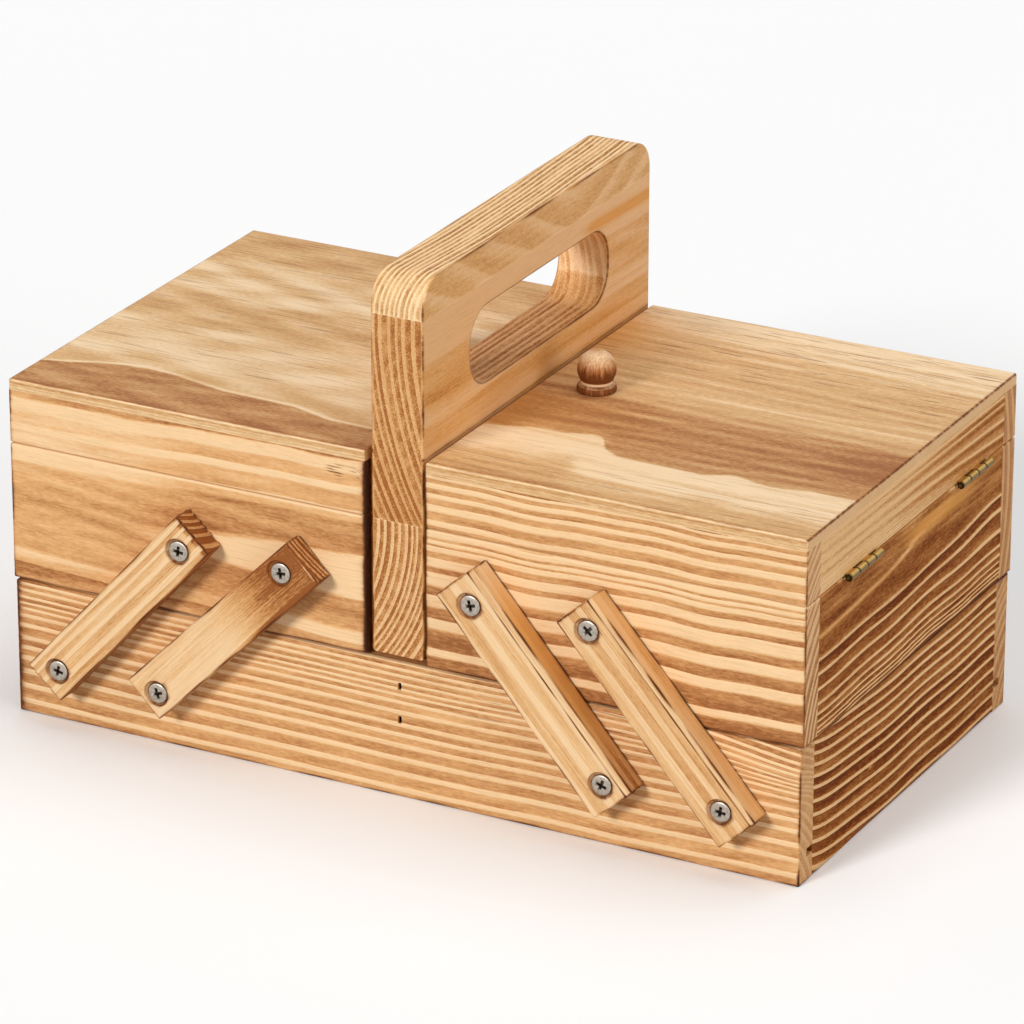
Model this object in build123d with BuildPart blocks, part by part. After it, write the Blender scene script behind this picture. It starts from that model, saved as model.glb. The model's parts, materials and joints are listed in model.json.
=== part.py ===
from build123d import *
from math import cos, radians, sin, sqrt
import os

os.makedirs("parts", exist_ok=True)

# A wooden cantilever sewing carrier: an open base, a fixed carrying handle that divides it, and on
# each side of the handle a tray that four pivoting arms swing outwards. Each tray has a hinged lid.
# Millimetres. +X points right, the front faces -Y, +Z is up, and the origin is on the table, under
# the middle of the base.

# Box
CARRIER_LENGTH = 305.0  # over the ends of the two closed trays
CARRIER_WIDTH = 169.0  # over the front and back boards
BOARD = 10.2  # thickness of the box boards
ARRIS = 0.6  # rounding of their outer edges
BASE_HEIGHT = 50.0
BASE_END_INSET = 0.8  # each end of the base stands back under its tray
TRAY_HEIGHT = 50.4
TRAY_GAP = 0.8  # between the rim of the base and a closed tray
SEAM_GAP = 0.4  # between the rim of a tray and its closed lid
LID_FRAME_HEIGHT = 19.6
LID_PANEL = 4.0
LID_ARRIS = 1.0  # rounding of the upper edges of a lid

# Bottom panels, each let into a groove round its box
BOTTOM_PANEL = 3.0
BOTTOM_RISE = 9.0  # underside of a panel above the lower edge of its box
GROOVE_DEPTH = 4.6

# Handle, glued up from three boards
HANDLE_THICKNESS = 20.0
HANDLE_TOP = 188.4
HANDLE_FRONT_SETBACK = 1.2
HANDLE_BACK_SETBACK = 0.3
HANDLE_CORNER = 11.0
HANDLE_ARRIS = 0.8
SHOULDER_GAP = 2.0  # between the rim of the base and the shoulders of the handle
TOP_BOARD_HEIGHT = 13.7
LOWER_BOARD_RISE = 50.9  # upper glue line above the rim of the base
HAND_HOLE_LENGTH = 102.0
HAND_HOLE_HEIGHT = 27.6
HAND_HOLE_CORNER = 12.2
HAND_HOLE_DROP = 36.3  # from the top of the handle to the middle of the hole
HAND_HOLE_SHIFT = 1.0  # towards the back
LEFT_HANDLE_GAP = 1.8  # between the handle and the closed left tray
RIGHT_HANDLE_GAP = 1.1

# Brads that hold the handle in the base
BRAD_WIDTH = 1.4
BRAD_HEIGHT = 1.8
BRAD_HEAD_HEIGHT = 2.8
BRAD_HEAD_DEPTH = 0.8
BRAD_SINK = 1.2  # head below the face of the board
BRAD_BITE = 15.0  # length in the handle
BRAD_SHIFT = 1.0  # right of the middle of the handle
UPPER_BRAD_DROP = 8.8  # below the rim of the base
BRAD_SPACING = 12.5

# Arms
ARM_THICKNESS = 8.8
ARM_WIDTH = 18.0
ARM_ARRIS = 0.5
ARM_GAP = 0.4  # between an arm and the face of the box
ARM_LEAN = 42.0  # degrees from upright towards the handle, with the trays closed
PIVOT_PITCH = 74.2  # between the two pivots of an arm
PIVOT_TO_ARM_END = 8.8
LEFT_ARM_SPACING = 40.2  # between the two arms on one face of a tray
RIGHT_ARM_SPACING = 44.2
LEFT_ARM_SHIFT = 2.8  # of the pair outwards from the middle of the tray
RIGHT_ARM_SHIFT = -2.0
LEFT_ARM_RISE = 0.4  # of the middle of an arm above the rim of the base
RIGHT_ARM_RISE = 3.4

# Arm screws, which are the pivots
SCREW_RADIUS = 2.0
SCREW_HEAD_RADIUS = 3.95
SCREW_HEAD_RIM = 0.6
SCREW_HEAD_HEIGHT = 2.4
SCREW_SINK = 0.2  # head below the face of the arm
SCREW_POINT = 3.0
SCREW_COVER = 1.5  # wood left behind the point
SCREW_TURN = 37.0  # degrees that each screw stops after the one before it
CROSS_LENGTH = 4.6
CROSS_WIDTH = 0.9
CROSS_DEPTH = 1.4
PIVOT_CLEARANCE = 0.06
HEAD_CLEARANCE = 0.5

# Lid hinges, whose leaves lie in the rim of the tray and in the underside of the lid
HINGE_LENGTH = 25.4
FRONT_HINGE_INSET = 41.5  # from the front of the box to the middle of the hinge
BACK_HINGE_INSET = 37.2
KNUCKLES = 4
KNUCKLE_GAP = 0.3
BARREL_RADIUS = 1.3
BARREL_STANDOFF = 0.3  # between the barrel and the end of the box
PIN_RADIUS = 0.55
PIN_CLEARANCE = 0.05
PIN_OVERHANG = 0.6
LEAF_WIDTH = 8.0
LEAF_THICKNESS = 0.8
MORTISE_PLAY = 0.9  # at each end of a leaf
LEAF_SCREW_RADIUS = 0.8
LEAF_SCREW_HEAD_RADIUS = 1.5
LEAF_SCREW_LENGTH = 7.0
LEAF_SCREW_SPACING = 14.0
LEAF_SCREW_INSET = 4.4  # from the end of the box

# Lid knobs
KNOB_INSET = 20.4  # from the inner end of the lid
KNOB_SHIFT = 1.5  # towards the back
KNOB_FOOT_RADIUS = 6.95
KNOB_FOOT_HEIGHT = 2.4
KNOB_NECK_RADIUS = 5.9
KNOB_NECK_HEIGHT = 4.5
KNOB_BALL_RADIUS = 6.8
KNOB_SCREW_RADIUS = 1.6
KNOB_SCREW_BITE = 8.0
KNOB_SCREW_HEAD_RADIUS = 3.2
KNOB_SCREW_HEAD_HEIGHT = 1.8

# Levels and places that follow
FRONT = -CARRIER_WIDTH / 2
INNER_FRONT = FRONT + BOARD
BASE_LENGTH = CARRIER_LENGTH - 2 * BASE_END_INSET
TRAY_BOTTOM = BASE_HEIGHT + TRAY_GAP
TRAY_RIM = TRAY_BOTTOM + TRAY_HEIGHT
LID_RIM = TRAY_RIM + SEAM_GAP
LID_PANEL_BOTTOM = LID_RIM + LID_FRAME_HEIGHT
LID_TOP = LID_PANEL_BOTTOM + LID_PANEL
ARM_FACE = FRONT - ARM_GAP - ARM_THICKNESS
SCREW_FACE = ARM_FACE + SCREW_SINK
SCREW_LENGTH = ARM_THICKNESS - SCREW_SINK + ARM_GAP + BOARD - SCREW_COVER
PIVOT_RUN = PIVOT_PITCH * sin(radians(ARM_LEAN))
PIVOT_CLIMB = PIVOT_PITCH * cos(radians(ARM_LEAN))
HINGE_X = CARRIER_LENGTH / 2 + BARREL_STANDOFF + BARREL_RADIUS
HINGE_Z = TRAY_RIM + SEAM_GAP / 2
HINGE_MIDDLES = (FRONT + FRONT_HINGE_INSET, -FRONT - BACK_HINGE_INSET)
SHOULDER = BASE_HEIGHT + SHOULDER_GAP
TONGUE_BOTTOM = BOTTOM_RISE + BOTTOM_PANEL
MIDDLE_BOARD_TOP = HANDLE_TOP - TOP_BOARD_HEIGHT
LOWER_BOARD_TOP = BASE_HEIGHT + LOWER_BOARD_RISE


class Side:
    """Places on one side of the handle, measured outwards from the middle of the carrier."""

    def __init__(self, name, direction, handle_gap, arm_spacing, arm_shift, arm_rise):
        self.name = name
        self.direction = direction
        self.inner = HANDLE_THICKNESS / 2 + handle_gap
        self.outer = CARRIER_LENGTH / 2
        self.length = self.outer - self.inner
        self.middle = (self.outer + self.inner) / 2
        pair_middle = self.middle + arm_shift
        self.arm_middles = {
            "inner": pair_middle - arm_spacing / 2,
            "outer": pair_middle + arm_spacing / 2,
        }
        self.arm_middle_height = BASE_HEIGHT + arm_rise
        self.lower_height = self.arm_middle_height - PIVOT_CLIMB / 2
        self.upper_height = self.arm_middle_height + PIVOT_CLIMB / 2
        self.lower_pivots = [(x + PIVOT_RUN / 2, self.lower_height) for x in self.arm_middles.values()]
        self.upper_pivots = [(x - PIVOT_RUN / 2, self.upper_height) for x in self.arm_middles.values()]
        self.knob_x = self.inner + KNOB_INSET


LEFT = Side("left", -1, LEFT_HANDLE_GAP, LEFT_ARM_SPACING, LEFT_ARM_SHIFT, LEFT_ARM_RISE)
RIGHT = Side("right", 1, RIGHT_HANDLE_GAP, RIGHT_ARM_SPACING, RIGHT_ARM_SHIFT, RIGHT_ARM_RISE)


def save(piece, name):
    """Label a finished piece and write its file."""
    piece.label = name
    export_step(piece, f"parts/{name}.step")


def save_front_and_back(piece, front_name, back_name):
    """The back of the carrier is the mirror image of its front."""
    save(mirror(piece, about=Plane.XZ), back_name)
    save(piece, front_name)


def on_side(piece, side):
    """Pieces are made as for the right side. The left side takes their mirror image."""
    return piece if side is RIGHT else mirror(piece, about=Plane.YZ)


# ---- Fasteners, each lying along +Z with its head at the origin ----


def make_arm_screw():
    """Countersunk wood screw without its cross recess."""
    with BuildPart() as screw:
        with BuildSketch(Plane.XZ):
            with BuildLine():
                Polyline(
                    (0, 0),
                    (SCREW_HEAD_RADIUS, 0),
                    (SCREW_HEAD_RADIUS, -SCREW_HEAD_RIM),
                    (SCREW_RADIUS, -SCREW_HEAD_HEIGHT),
                    (SCREW_RADIUS, SCREW_POINT - SCREW_LENGTH),
                    (0, -SCREW_LENGTH),
                    close=True,
                )
            make_face()
        revolve(axis=Axis.Z)
    return screw.part


def make_brad():
    """Square-shanked brad with a small flat head, its head towards +Z."""
    length = BOARD - BRAD_SINK + BRAD_BITE
    with BuildPart() as brad:
        Box(BRAD_WIDTH, BRAD_HEAD_HEIGHT, BRAD_HEAD_DEPTH, align=(Align.CENTER, Align.CENTER, Align.MAX))
        Box(BRAD_WIDTH, BRAD_HEIGHT, length, align=(Align.CENTER, Align.CENTER, Align.MAX))
    return brad.part


def make_leaf_screw():
    """Small countersunk hinge screw whose head is as deep as the leaf."""
    with BuildPart() as screw:
        with BuildSketch(Plane.XZ):
            with BuildLine():
                Polyline(
                    (0, 0),
                    (LEAF_SCREW_HEAD_RADIUS, 0),
                    (LEAF_SCREW_RADIUS, -LEAF_THICKNESS),
                    (LEAF_SCREW_RADIUS, -LEAF_SCREW_LENGTH),
                    (0, -LEAF_SCREW_LENGTH),
                    close=True,
                )
            make_face()
        revolve(axis=Axis.Z)
    return screw.part


def make_knob_screw():
    """Flat-headed screw, driven upwards: the head hangs below the origin."""
    with BuildPart() as screw:
        Cylinder(
            KNOB_SCREW_HEAD_RADIUS,
            KNOB_SCREW_HEAD_HEIGHT,
            align=(Align.CENTER, Align.CENTER, Align.MAX),
        )
        Cylinder(
            KNOB_SCREW_RADIUS,
            LID_PANEL + KNOB_SCREW_BITE,
            align=(Align.CENTER, Align.CENTER, Align.MIN),
        )
    return screw.part


ARM_SCREW = make_arm_screw()
BRAD = make_brad()
LEAF_SCREW = make_leaf_screw()
KNOB_SCREW = make_knob_screw()


def front_places(points, y, turn=0.0):
    """Planes that face the front at y, at each (x, z) point, each turned on after the one before."""
    angles = [radians(turn * count) for count in range(len(points))]
    return [
        Plane(origin=(x, y, z), x_dir=(cos(angle), 0, sin(angle)), z_dir=(0, -1, 0))
        for (x, z), angle in zip(points, angles)
    ]


def brad_places():
    """Places of the two front brads."""
    upper = BASE_HEIGHT - UPPER_BRAD_DROP
    return front_places([(BRAD_SHIFT, upper), (BRAD_SHIFT, upper - BRAD_SPACING)], FRONT + BRAD_SINK)


def drive_arm_screws(points):
    """A group of separate screws at the (x, z) points of the front face."""
    with BuildPart() as screws:
        for place in front_places(points, SCREW_FACE, SCREW_TURN):
            with Locations(place):
                add(ARM_SCREW)
            with BuildSketch(place):
                Rectangle(CROSS_LENGTH, CROSS_WIDTH)
                Rectangle(CROSS_WIDTH, CROSS_LENGTH)
            extrude(amount=-CROSS_DEPTH, mode=Mode.SUBTRACT)
    return screws.part


# ---- Boards of the boxes ----


def long_board(middle, length, bottom, height, eased_top=True):
    """Front board: it covers the ends of the boards that stand between it and the back board."""
    with BuildPart() as board:
        with Locations((middle, FRONT, bottom)):
            Box(length, BOARD, height, align=(Align.CENTER, Align.MIN, Align.MIN))
        eased = board.edges() - board.faces().sort_by(Axis.Y)[-1].edges()
        if not eased_top:
            eased -= board.faces().sort_by(Axis.Z)[-1].edges()
        fillet(eased, ARRIS)
    return board.part


def end_board(outer, bottom, height, eased_top=True, outwards=1):
    """Board across the box, between the front and back boards, with its outer face at outer."""
    across = 2 * abs(INNER_FRONT)
    with BuildPart() as board:
        with Locations((outer - outwards * BOARD / 2, 0, bottom)):
            Box(BOARD, across, height, align=(Align.CENTER, Align.CENTER, Align.MIN))
        outer_face = board.faces().sort_by(Axis.X)[-1 if outwards > 0 else 0]
        rims = outer_face.edges().filter_by(Axis.Y).sort_by(Axis.Z)
        fillet(rims if eased_top else rims[0], ARRIS)
    return board.part


def bottom_panel(low_x, high_x, bottom):
    """Bottom panel for a box whose inner faces are at low_x and high_x, with its edges in the grooves."""
    across = 2 * abs(INNER_FRONT) + 2 * GROOVE_DEPTH
    with BuildPart() as panel:
        with Locations(((low_x + high_x) / 2, 0, bottom + BOTTOM_RISE)):
            Box(
                high_x - low_x + 2 * GROOVE_DEPTH,
                across,
                BOTTOM_PANEL,
                align=(Align.CENTER, Align.CENTER, Align.MIN),
            )
    return panel.part


# ---- Base ----


def make_base():
    """Open box with through grooves, whose ends show on the outside of the front and back boards."""
    end = BASE_LENGTH / 2
    panel = bottom_panel(-end + BOARD, end - BOARD, 0)
    pivots = [(-x, z) for x, z in LEFT.lower_pivots] + RIGHT.lower_pivots

    with BuildPart() as front_board:
        add(long_board(0, BASE_LENGTH, 0, BASE_HEIGHT))
        with Locations((0, INNER_FRONT, BOTTOM_RISE)):
            Box(
                BASE_LENGTH,
                GROOVE_DEPTH,
                BOTTOM_PANEL,
                align=(Align.CENTER, Align.MAX, Align.MIN),
                mode=Mode.SUBTRACT,
            )
        for place in front_places(pivots, SCREW_FACE):
            with Locations(place):
                add(ARM_SCREW, mode=Mode.SUBTRACT)
        for place in brad_places():
            with Locations(place):
                add(BRAD, mode=Mode.SUBTRACT)
            with BuildSketch(place):
                Rectangle(BRAD_WIDTH, BRAD_HEAD_HEIGHT)
            extrude(amount=BRAD_SINK, mode=Mode.SUBTRACT)
    save_front_and_back(front_board.part, "base_front_board", "base_back_board")

    with BuildPart() as end_piece:
        add(end_board(end, 0, BASE_HEIGHT))
        add(panel, mode=Mode.SUBTRACT)
    save(mirror(end_piece.part, about=Plane.YZ), "base_left_end")
    save(end_piece.part, "base_right_end")
    save(panel, "base_bottom_panel")

    front_screws = drive_arm_screws(pivots)
    with BuildPart() as screws:
        add(front_screws)
        add(mirror(front_screws, about=Plane.XZ, mode=Mode.PRIVATE))
    save(screws.part, "base_arm_screws")


# ---- Handle ----


def make_handle():
    """Upright board with a tongue that divides the base, and shoulders that bridge its rims."""
    front = FRONT + HANDLE_FRONT_SETBACK
    back = -FRONT - HANDLE_BACK_SETBACK
    with BuildPart() as brads:
        for place in brad_places():
            with Locations(place):
                add(BRAD)
        mirror(about=Plane.XZ)
    save(brads.part, "handle_brads")

    with BuildPart() as blank:
        with BuildSketch(Plane.YZ):
            with BuildLine():
                FilletPolyline(
                    (front, SHOULDER),
                    (front, HANDLE_TOP),
                    (back, HANDLE_TOP),
                    (back, SHOULDER),
                    radius=HANDLE_CORNER,
                )
                Line((back, SHOULDER), (front, SHOULDER))
            make_face()
        extrude(amount=HANDLE_THICKNESS / 2, both=True)
        underside = blank.faces().sort_by(Axis.Z)[0].edges()
        outline = blank.faces().sort_by(Axis.X)[0].edges() + blank.faces().sort_by(Axis.X)[-1].edges()
        fillet(outline - underside, HANDLE_ARRIS)
        with Locations((0, INNER_FRONT, TONGUE_BOTTOM)):
            Box(
                HANDLE_THICKNESS,
                2 * abs(INNER_FRONT),
                SHOULDER - TONGUE_BOTTOM,
                align=(Align.CENTER, Align.MIN, Align.MIN),
            )
        with BuildSketch(Plane.YZ):
            with Locations((HAND_HOLE_SHIFT, HANDLE_TOP - HAND_HOLE_DROP)):
                RectangleRounded(HAND_HOLE_LENGTH, HAND_HOLE_HEIGHT, HAND_HOLE_CORNER)
        extrude(amount=HANDLE_THICKNESS / 2, both=True, mode=Mode.SUBTRACT)
        add(brads.part, mode=Mode.SUBTRACT)

    with BuildPart() as lower_board:
        add(blank.part)
        split(bisect_by=Plane.XY.offset(LOWER_BOARD_TOP), keep=Keep.BOTTOM)
    save(lower_board.part, "handle_lower_board")

    with BuildPart() as middle_board:
        add(blank.part)
        split(bisect_by=Plane.XY.offset(LOWER_BOARD_TOP), keep=Keep.TOP)
        split(bisect_by=Plane.XY.offset(MIDDLE_BOARD_TOP), keep=Keep.BOTTOM)
    save(middle_board.part, "handle_middle_board")

    with BuildPart() as top_board:
        add(blank.part)
        split(bisect_by=Plane.XY.offset(MIDDLE_BOARD_TOP), keep=Keep.TOP)
    save(top_board.part, "handle_top_board")


# ---- Trays ----


def leaf_mortises(side, low_z):
    """Pockets for the two hinge leaves of one side, open to the end of the box."""
    with BuildPart() as pockets:
        for middle in HINGE_MIDDLES:
            with Locations((side.outer, middle, low_z)):
                Box(
                    LEAF_WIDTH,
                    HINGE_LENGTH + 2 * MORTISE_PLAY,
                    LEAF_THICKNESS,
                    align=(Align.MAX, Align.CENTER, Align.MIN),
                )
    return pockets.part


def leaf_screws(side, face_z, upwards):
    """The two screws of each leaf, with their heads flush with its outer face at face_z."""
    x = side.outer - LEAF_SCREW_INSET
    spots = [
        (x, middle + offset, face_z)
        for middle in HINGE_MIDDLES
        for offset in (-LEAF_SCREW_SPACING / 2, LEAF_SCREW_SPACING / 2)
    ]
    with BuildPart() as screws:
        for spot in spots:
            with Locations(Location(spot, (180, 0, 0) if upwards else (0, 0, 0))):
                add(LEAF_SCREW)
    return screws.part


def make_tray(side):
    """Box with a stopped groove round its bottom panel."""
    prefix = side.name + "_tray_"
    panel = bottom_panel(side.inner + BOARD, side.outer - BOARD, TRAY_BOTTOM)
    screws = leaf_screws(side, TRAY_RIM, upwards=False)

    with BuildPart() as front_board:
        add(long_board(side.middle, side.length, TRAY_BOTTOM, TRAY_HEIGHT))
        add(panel, mode=Mode.SUBTRACT)
        for place in front_places(side.upper_pivots, SCREW_FACE):
            with Locations(place):
                add(ARM_SCREW, mode=Mode.SUBTRACT)
    save_front_and_back(on_side(front_board.part, side), prefix + "front", prefix + "back")

    with BuildPart() as outer_end:
        add(end_board(side.outer, TRAY_BOTTOM, TRAY_HEIGHT))
        add(panel, mode=Mode.SUBTRACT)
        add(leaf_mortises(side, TRAY_RIM - LEAF_THICKNESS), mode=Mode.SUBTRACT)
        add(screws, mode=Mode.SUBTRACT)
    save(on_side(outer_end.part, side), prefix + "outer_end")

    with BuildPart() as inner_end:
        add(end_board(side.inner, TRAY_BOTTOM, TRAY_HEIGHT, outwards=-1))
        add(panel, mode=Mode.SUBTRACT)
    save(on_side(inner_end.part, side), prefix + "inner_end")
    save(on_side(panel, side), prefix + "bottom_panel")

    front_screws = on_side(drive_arm_screws(side.upper_pivots), side)
    with BuildPart() as arm_screws:
        add(front_screws)
        add(mirror(front_screws, about=Plane.XZ, mode=Mode.PRIVATE))
    save(arm_screws.part, prefix + "arm_screws")
    save(on_side(screws, side), prefix + "hinge_screws")


# ---- Hinges ----


def hinge_leaves(side, plate_z, first_knuckle, bore_radius):
    """Two leaves: a plate in its mortise, and every second knuckle from first_knuckle."""
    pitch = (HINGE_LENGTH + KNUCKLE_GAP) / KNUCKLES
    with BuildPart() as leaves:
        for middle in HINGE_MIDDLES:
            front_end = middle - HINGE_LENGTH / 2
            with Locations((side.outer, middle, plate_z)):
                Box(LEAF_WIDTH, HINGE_LENGTH, LEAF_THICKNESS, align=(Align.MAX, Align.CENTER, Align.MIN))
            for count in range(first_knuckle, KNUCKLES, 2):
                knuckle_back = front_end + (count + 1) * pitch - KNUCKLE_GAP
                with BuildSketch(Plane.XZ.offset(-knuckle_back)):
                    with Locations((HINGE_X, HINGE_Z)):
                        Circle(BARREL_RADIUS)
                    with Locations((HINGE_X, plate_z)):
                        Rectangle(HINGE_X - side.outer, LEAF_THICKNESS, align=(Align.MAX, Align.MIN))
                    with Locations((HINGE_X, HINGE_Z)):
                        Circle(bore_radius, mode=Mode.SUBTRACT)
                extrude(amount=pitch - KNUCKLE_GAP)
    return leaves.part


def make_hinges(side):
    """Brass butt hinges: the lid's leaves turn on pins that the tray's knuckles grip."""
    with BuildPart() as lid_leaves:
        add(hinge_leaves(side, LID_RIM, 0, PIN_RADIUS + PIN_CLEARANCE))
        add(leaf_screws(side, LID_RIM, upwards=True), mode=Mode.SUBTRACT)
    save(on_side(lid_leaves.part, side), side.name + "_hinge_lid_leaves")

    with BuildPart() as tray_leaves:
        add(hinge_leaves(side, TRAY_RIM - LEAF_THICKNESS, 1, PIN_RADIUS))
        add(leaf_screws(side, TRAY_RIM, upwards=False), mode=Mode.SUBTRACT)
    save(on_side(tray_leaves.part, side), side.name + "_hinge_tray_leaves")

    with BuildPart() as pins:
        for middle in HINGE_MIDDLES:
            with Locations((HINGE_X, middle, HINGE_Z)):
                Cylinder(PIN_RADIUS, HINGE_LENGTH + 2 * PIN_OVERHANG, rotation=(90, 0, 0))
    save(on_side(pins.part, side), side.name + "_hinge_pins")


# ---- Lids ----


def make_lid(side):
    """Thin panel on a frame of four strips, with a turned knob near its free end."""
    prefix = side.name + "_lid_"
    screws = leaf_screws(side, LID_RIM, upwards=True)
    knob_screw_place = Location((side.knob_x, KNOB_SHIFT, LID_PANEL_BOTTOM))

    front_strip = long_board(side.middle, side.length, LID_RIM, LID_FRAME_HEIGHT, eased_top=False)
    save_front_and_back(on_side(front_strip, side), prefix + "front_strip", prefix + "back_strip")

    with BuildPart() as outer_strip:
        add(end_board(side.outer, LID_RIM, LID_FRAME_HEIGHT, eased_top=False))
        add(leaf_mortises(side, LID_RIM), mode=Mode.SUBTRACT)
        add(screws, mode=Mode.SUBTRACT)
    save(on_side(outer_strip.part, side), prefix + "outer_strip")

    inner_strip = end_board(side.inner, LID_RIM, LID_FRAME_HEIGHT, eased_top=False, outwards=-1)
    save(on_side(inner_strip, side), prefix + "inner_strip")

    with BuildPart() as panel:
        with Locations((side.middle, 0, LID_PANEL_BOTTOM)):
            Box(side.length, CARRIER_WIDTH, LID_PANEL, align=(Align.CENTER, Align.CENTER, Align.MIN))
        fillet(panel.edges().filter_by(Axis.Z), ARRIS)
        fillet(panel.faces().sort_by(Axis.Z)[-1].edges(), LID_ARRIS)
        with Locations(knob_screw_place):
            add(KNOB_SCREW, mode=Mode.SUBTRACT)
    save(on_side(panel.part, side), prefix + "panel")

    ball_middle = KNOB_NECK_HEIGHT + sqrt(KNOB_BALL_RADIUS**2 - KNOB_NECK_RADIUS**2)
    with BuildPart() as knob:
        with BuildSketch(Plane.XZ):
            with BuildLine():
                Polyline(
                    (0, ball_middle + KNOB_BALL_RADIUS),
                    (0, 0),
                    (KNOB_FOOT_RADIUS, 0),
                    (KNOB_FOOT_RADIUS, KNOB_FOOT_HEIGHT),
                    (KNOB_NECK_RADIUS, KNOB_NECK_HEIGHT),
                )
                ThreePointArc(
                    (KNOB_NECK_RADIUS, KNOB_NECK_HEIGHT),
                    (KNOB_BALL_RADIUS, ball_middle),
                    (0, ball_middle + KNOB_BALL_RADIUS),
                )
            make_face()
        revolve(axis=Axis.Z)
        with Locations((0, 0, -LID_PANEL)):
            add(KNOB_SCREW, mode=Mode.SUBTRACT)
    seated_knob = knob.part.moved(Location((side.knob_x, KNOB_SHIFT, LID_TOP)))
    save(on_side(seated_knob, side), prefix + "knob")

    seated_screw = KNOB_SCREW.moved(knob_screw_place)
    save(on_side(seated_screw, side), prefix + "knob_screw")
    save(on_side(screws, side), prefix + "hinge_screws")


# ---- Arms ----


def make_arms(side):
    """Four arms, each turning on one screw in the base and one in the tray."""
    arm_length = PIVOT_PITCH + 2 * PIVOT_TO_ARM_END
    along = (-PIVOT_RUN, 0, PIVOT_CLIMB)
    for place_name, middle in side.arm_middles.items():
        origin = (middle, ARM_FACE, side.arm_middle_height)
        face = Plane(origin=origin, x_dir=along, z_dir=(0, -1, 0))
        with BuildPart() as arm:
            with BuildSketch(face):
                Rectangle(arm_length, ARM_WIDTH)
            extrude(amount=-ARM_THICKNESS)
            fillet(arm.edges(), ARM_ARRIS)
            with Locations(face):
                with GridLocations(PIVOT_PITCH, 0, 2, 1):
                    CounterBoreHole(
                        radius=SCREW_RADIUS + PIVOT_CLEARANCE,
                        counter_bore_radius=SCREW_HEAD_RADIUS + HEAD_CLEARANCE,
                        counter_bore_depth=SCREW_SINK + SCREW_HEAD_HEIGHT + HEAD_CLEARANCE,
                        depth=ARM_THICKNESS,
                    )
        name = f"{side.name}_arm_{{}}_{place_name}"
        save_front_and_back(on_side(arm.part, side), name.format("front"), name.format("back"))


make_base()
make_handle()
for one_side in (LEFT, RIGHT):
    make_tray(one_side)
    make_hinges(one_side)
    make_lid(one_side)
    make_arms(one_side)
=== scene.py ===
# %% [markdown]
# # A wooden sewing carrier with two lids
# The real box is made of flamed and brushed pine. A torch burns the soft early wood of each yearly ring
# brown, a wire brush takes some of it away, and the hard late wood is left as pale ridges. So the look of
# this object is the look of its rings, and this lesson builds one model of a tree trunk and saws every board
# from it: the same ring numbers shape the relief and colour it. The CAD model gives each piece its place,
# and we load it first.

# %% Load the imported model
import json
import math

import bmesh
import bpy
import numpy as np
from mathutils import Matrix, Vector


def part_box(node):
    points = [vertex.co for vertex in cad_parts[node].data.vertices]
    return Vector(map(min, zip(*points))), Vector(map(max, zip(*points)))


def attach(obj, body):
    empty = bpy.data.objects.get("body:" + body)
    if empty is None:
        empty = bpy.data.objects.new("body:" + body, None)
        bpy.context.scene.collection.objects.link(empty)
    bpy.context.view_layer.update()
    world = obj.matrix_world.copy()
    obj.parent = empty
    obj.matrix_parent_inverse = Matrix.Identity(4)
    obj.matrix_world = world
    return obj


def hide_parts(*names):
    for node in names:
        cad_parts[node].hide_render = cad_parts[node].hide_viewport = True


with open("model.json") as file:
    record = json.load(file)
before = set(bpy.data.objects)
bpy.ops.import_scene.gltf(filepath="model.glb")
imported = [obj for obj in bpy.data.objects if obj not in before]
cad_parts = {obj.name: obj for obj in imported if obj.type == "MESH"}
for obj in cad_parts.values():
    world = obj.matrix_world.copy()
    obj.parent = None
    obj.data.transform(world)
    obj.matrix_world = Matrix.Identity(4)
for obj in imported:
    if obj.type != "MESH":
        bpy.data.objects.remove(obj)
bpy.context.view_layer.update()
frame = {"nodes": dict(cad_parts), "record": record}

nodes = frame["nodes"]
record = frame["record"]

# %% [markdown]
# ## Camera
# A long lens from about two metres flattens the perspective, as in catalogue pictures. The direction is
# given by an azimuth and an elevation, and the camera is rolled by an eighth of a degree. A matrix is the
# simplest exact way to place it.

# %% Camera
AZIMUTH, ELEVATION, ROLL = 27.77, 22.70, 0.128
CAMERA_PLACE = (0.9403, -1.7866, 0.9186)


def looking(azimuth, elevation, roll):
    """Turns a camera to look from this direction, all in degrees."""
    a, e, r = (math.radians(angle) for angle in (azimuth, elevation, roll))
    back = Vector((math.sin(a) * math.cos(e), -math.cos(a) * math.cos(e), math.sin(e)))
    right = Vector((math.cos(a), math.sin(a), 0))
    up = back.cross(right)
    turned = (right * math.cos(r) + up * math.sin(r), up * math.cos(r) - right * math.sin(r), back)
    return Matrix(turned).transposed().to_4x4()


def show(name, data):
    """Puts new data into the scene as an object."""
    made = bpy.data.objects.new(name, data)
    bpy.context.collection.objects.link(made)
    return made


camera = show("camera", bpy.data.cameras.new("camera"))
camera.data.lens = 220.8
camera.data.sensor_width = 36
camera.data.clip_end = 20
camera.matrix_world = Matrix.Translation(CAMERA_PLACE) @ looking(AZIMUTH, ELEVATION, ROLL)
bpy.context.scene.camera = camera
bpy.context.scene.view_settings.view_transform = "Standard"
print("Camera at", tuple(round(value, 3) for value in camera.location))

# %% [markdown]
# ## Light
# A product picture is lit with large soft boxes. Sun lamps with a wide angle give the same soft shadows, and
# their strength is easy to reason about: a strength of pi on a white face gives exactly white. The key lamp
# stands left of the camera, a second one overhead, and a weak one on the right keeps the ends of the box
# darker than its front.

# %% Lamps
def sun(name, direction, share, softness):
    """A distant lamp. direction: from the object to the lamp. share: how much of full white it gives."""
    lamp = bpy.data.lights.new(name, "SUN")
    lamp.energy = math.pi * share
    lamp.angle = math.radians(softness)
    show(name, lamp).rotation_euler = Vector(direction).to_track_quat("Z", "Y").to_euler()
    print(name, "gives", share, "over", softness, "degrees")


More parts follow.
